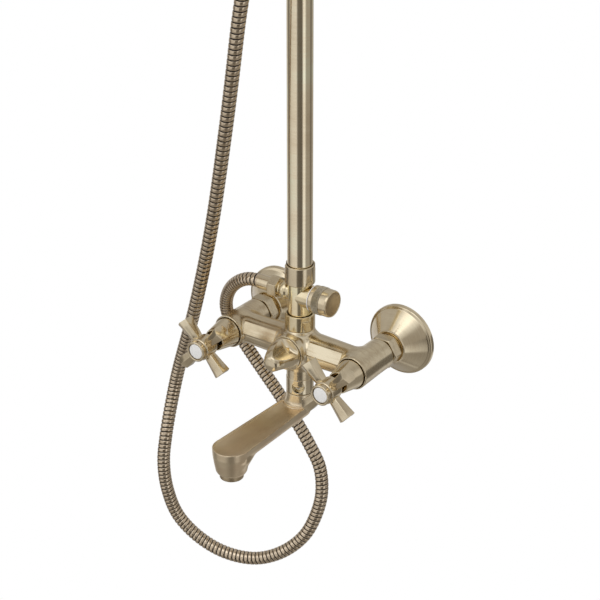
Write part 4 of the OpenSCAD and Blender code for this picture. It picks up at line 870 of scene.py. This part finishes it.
def tube(line, radius, around=64):
    _, u, v = frames(line)
    angle = (np.arange(around) * 2 * math.pi / around)[None, :, None]
    rings = line[:, None] + radius * (np.cos(angle) * u[:, None] + np.sin(angle) * v[:, None])
    return surface(rings, caps=True)


brass("shower_arm", tube(arm_line(), 11.0), HERE)
STUD = [(0, 984), (6.2, 986.2, 2), (9.2, 990.5, 2), (10, 994, 2), (9.2, 998, 2), (6.2, 1001.5, 1.5),
        (5.8, 1004, 1), (5.8, 1012), (0, 1012)]
brass("ball_stud", joined(hex_nut(26, 1011, 1031, step=0.45), lathe(STUD)), HEAD, material=cast_brass)

# ---- rain head
RAIN_HEAD = [(0, 984), (17, 984), (17, 994), (16.9, 986, 0.5), (18, 984.6, 1.5), (27, 981.8, 3),
             (60, 976.8, 20), (92, 967.8, 8), (99.4, 965.2, 1.2), (100, 960, 0.6), (98.5, 960, 0.3),
             (98.5, 963), (0, 963)]
COLLAR = [(10.5, 994), (16.9, 994, 0.4), (16.9, 998.4, 0.5), (14, 1001.4, 0.6), (10, 1001.4, 0.3), (10, 998)]
brass("rain_head", lathe(RAIN_HEAD, around=200), HEAD, "shower_head")
brass("rain_collar", lathe(COLLAR, closed=True), HEAD, "shower_head")
plate, nozzles = nozzle_plate(98.4, 0, 2.5, 1.0, 7, 13.2)
DOWN = place(0, HEAD_Y, 963.5, Matrix.Rotation(math.pi, 4, "X"))
piece("visual_rain_face", plate, DOWN, dark_brass, "rain_face", "shower_head")
piece("visual_rain_nozzles", nozzles, DOWN, rubber, "", "shower_head")

# ---------------------------------------------------------------- CAD nodes that stay as they are
FINISH = {"bare_brass": inner_brass, "rubber": rubber, "white_nylon": nylon, "white_index": white_enamel,
          "steel": steel, "aged_brass": turned_brass, "hose_brass": hose_brass, "spray_face": dark_brass}
for part in frame["record"]["subparts"]:
    node = frame["nodes"][part["node"]]
    node.data.materials.clear()
    node.data.materials.append(FINISH[part["material_slot"]])

# ---------------------------------------------------------------- studio
AZIMUTH, ELEVATION = math.radians(35.62), math.radians(26.76)
TARGET = Vector((0, -71.5, 49.7)) * MM
DISTANCE = 1951.8 * MM
back = Vector((math.sin(AZIMUTH) * math.cos(ELEVATION), -math.cos(AZIMUTH) * math.cos(ELEVATION),
               math.sin(ELEVATION)))
lens = bpy.data.cameras.new("camera")
lens.lens = 119.3
lens.sensor_width = 36
lens.clip_end = 50
camera = bpy.data.objects.new("camera", lens)
camera.location = TARGET + back * DISTANCE
camera.rotation_euler = back.to_track_quat("Z", "Y").to_euler()
bpy.context.scene.collection.objects.link(camera)
bpy.context.scene.camera = camera
bpy.context.scene.view_settings.view_transform = "Standard"


def box_tone(level):
    """Colour of a soft box. The dark gaps between the boxes are warm."""
    warm = max(0.0, 1 - level / 0.8)
    return (level, level * (1 - 0.1 * warm), level * (1.02 - 0.24 * warm))


# Each ring of the studio: the heights (sine of the elevation) between which it takes over from the ring
# below it, and its levels as (degrees from the front, positive to the right; brightness).
RINGS = [
    (None, [(-180, 0.3), (-150, 0.42), (-120, 0.26), (-60, 0.32), (-20, 0.27), (0, 0.2), (20, 0.24),
            (40, 0.38), (60, 0.28), (100, 0.35), (125, 0.6), (150, 0.4), (179, 0.3)]),
    ((-0.62, -0.5), [(-180, 0.65), (-138, 0.6), (-126, 0.2), (-102, 0.16), (-92, 0.5), (-70, 0.62),
                     (-30, 0.68), (-20, 0.14), (18, 0.1), (24, 0.45), (31, 0.86), (44, 0.78), (54, 0.3),
                     (92, 0.3), (102, 0.15), (116, 0.15), (126, 0.34), (179, 0.5)]),
    ((-0.05, 0.08), [(-180, 0.42), (-150, 0.38), (-120, 0.5), (-92, 0.5), (-77, 0.95), (-60, 0.95),
                     (-50, 0.5), (-40, 0.7), (-20, 0.72), (-5, 0.5), (15, 0.38), (30, 0.42), (48, 0.7),
                     (60, 0.45), (70, 0.7), (90, 0.6), (130, 0.42), (179, 0.42)]),
    ((0.47, 0.66), [(-180, 0.5), (-120, 0.42), (-95, 0.5), (-72, 0.85), (-52, 1.35), (-18, 1.4),
                    (-4, 0.85), (10, 0.62), (50, 0.68), (75, 0.55), (100, 0.4), (140, 0.48), (179, 0.5)]),
    ((0.9, 0.97), [(-180, 0.5), (179, 0.5)]),
]


def studio_world():
    """White to the camera. To the metal it is a studio: soft boxes and dark gaps at set bearings."""
    world = bpy.data.worlds.new("studio")
    world.use_nodes = True
    tree = world.node_tree
    way = add(tree, "ShaderNodeTexCoord")
    parts = add(tree, "ShaderNodeSeparateXYZ")
    tree.links.new(way.outputs["Generated"], parts.inputs["Vector"])
    bearing = add(tree, "ShaderNodeMath", operation="ARCTAN2")
    tree.links.new(parts.outputs["Y"], bearing.inputs[0])
    tree.links.new(parts.outputs["X"], bearing.inputs[1])
    turn = add(tree, "ShaderNodeMath", operation="SUBTRACT")
    tree.links.new(bearing.outputs["Value"], turn.inputs[0])
    turn.inputs[1].default_value = math.atan2(back.y, back.x) - math.pi
    share = add(tree, "ShaderNodeMath", operation="DIVIDE")
    tree.links.new(turn.outputs["Value"], share.inputs[0])
    share.inputs[1].default_value = 2 * math.pi
    wrap = add(tree, "ShaderNodeMath", operation="FRACT")
    tree.links.new(share.outputs["Value"], wrap.inputs[0])
    colour = None
    for heights, levels in RINGS:
        ring = ramp(tree, wrap.outputs["Value"], [((angle + 180) / 360, box_tone(v)) for angle, v in levels])
        if heights:
            height = add(tree, "ShaderNodeMapRange", interpolation_type="SMOOTHSTEP")
            height.inputs["From Min"].default_value, height.inputs["From Max"].default_value = heights
            tree.links.new(parts.outputs["Z"], height.inputs["Value"])
            mix = add(tree, "ShaderNodeMix", data_type="RGBA")
            tree.links.new(height.outputs["Result"], mix.inputs["Factor"])
            tree.links.new(colour, mix.inputs[6])
            tree.links.new(ring, mix.inputs[7])
            ring = mix.outputs[2]
        colour = ring
    path = add(tree, "ShaderNodeLightPath")
    seen = add(tree, "ShaderNodeMix", data_type="RGBA")
    tree.links.new(path.outputs["Is Camera Ray"], seen.inputs["Factor"])
    tree.links.new(colour, seen.inputs[6])
    seen.inputs[7].default_value = (1, 1, 1, 1)
    tree.links.new(seen.outputs[2], tree.nodes["Background"].inputs["Color"])
    bpy.context.scene.world = world


studio_world()


def floor():
    """Plain white floor far below. The metal looks through it to the studio."""
    mesh = bpy.data.meshes.new("floor")
    half, level = 6.0, -0.9
    corners = [(-half, -half, level), (half, -half, level), (half, half, level), (-half, half, level)]
    mesh.from_pydata(corners, [], [(0, 1, 2, 3)])
    material = bpy.data.materials.new("floor")
    material.use_nodes = True
    tree = material.node_tree
    tree.nodes.clear()
    path = add(tree, "ShaderNodeLightPath")
    clear = add(tree, "ShaderNodeBsdfTransparent")
    white = add(tree, "ShaderNodeEmission", Strength=1.0)
    mix = add(tree, "ShaderNodeMixShader")
    output = add(tree, "ShaderNodeOutputMaterial")
    tree.links.new(path.outputs["Is Camera Ray"], mix.inputs["Fac"])
    tree.links.new(clear.outputs["BSDF"], mix.inputs[1])
    tree.links.new(white.outputs["Emission"], mix.inputs[2])
    tree.links.new(mix.outputs["Shader"], output.inputs["Surface"])
    mesh.materials.append(material)
    obj = bpy.data.objects.new("floor", mesh)
    bpy.context.scene.collection.objects.link(obj)
    obj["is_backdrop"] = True


floor()
key = bpy.data.lights.new("key", "AREA")
key.energy = 30
key.size = 1.5
key_light = bpy.data.objects.new("key", key)
key_light.location = (1.2, -2.2, 1.8)
key_light.rotation_euler = (key_light.location - TARGET).to_track_quat("Z", "Y").to_euler()
key_light.visible_glossy = False
bpy.context.scene.collection.objects.link(key_light)

visual_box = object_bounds()
[[list(corner) for corner in b] for b in (cad_box, visual_box)]
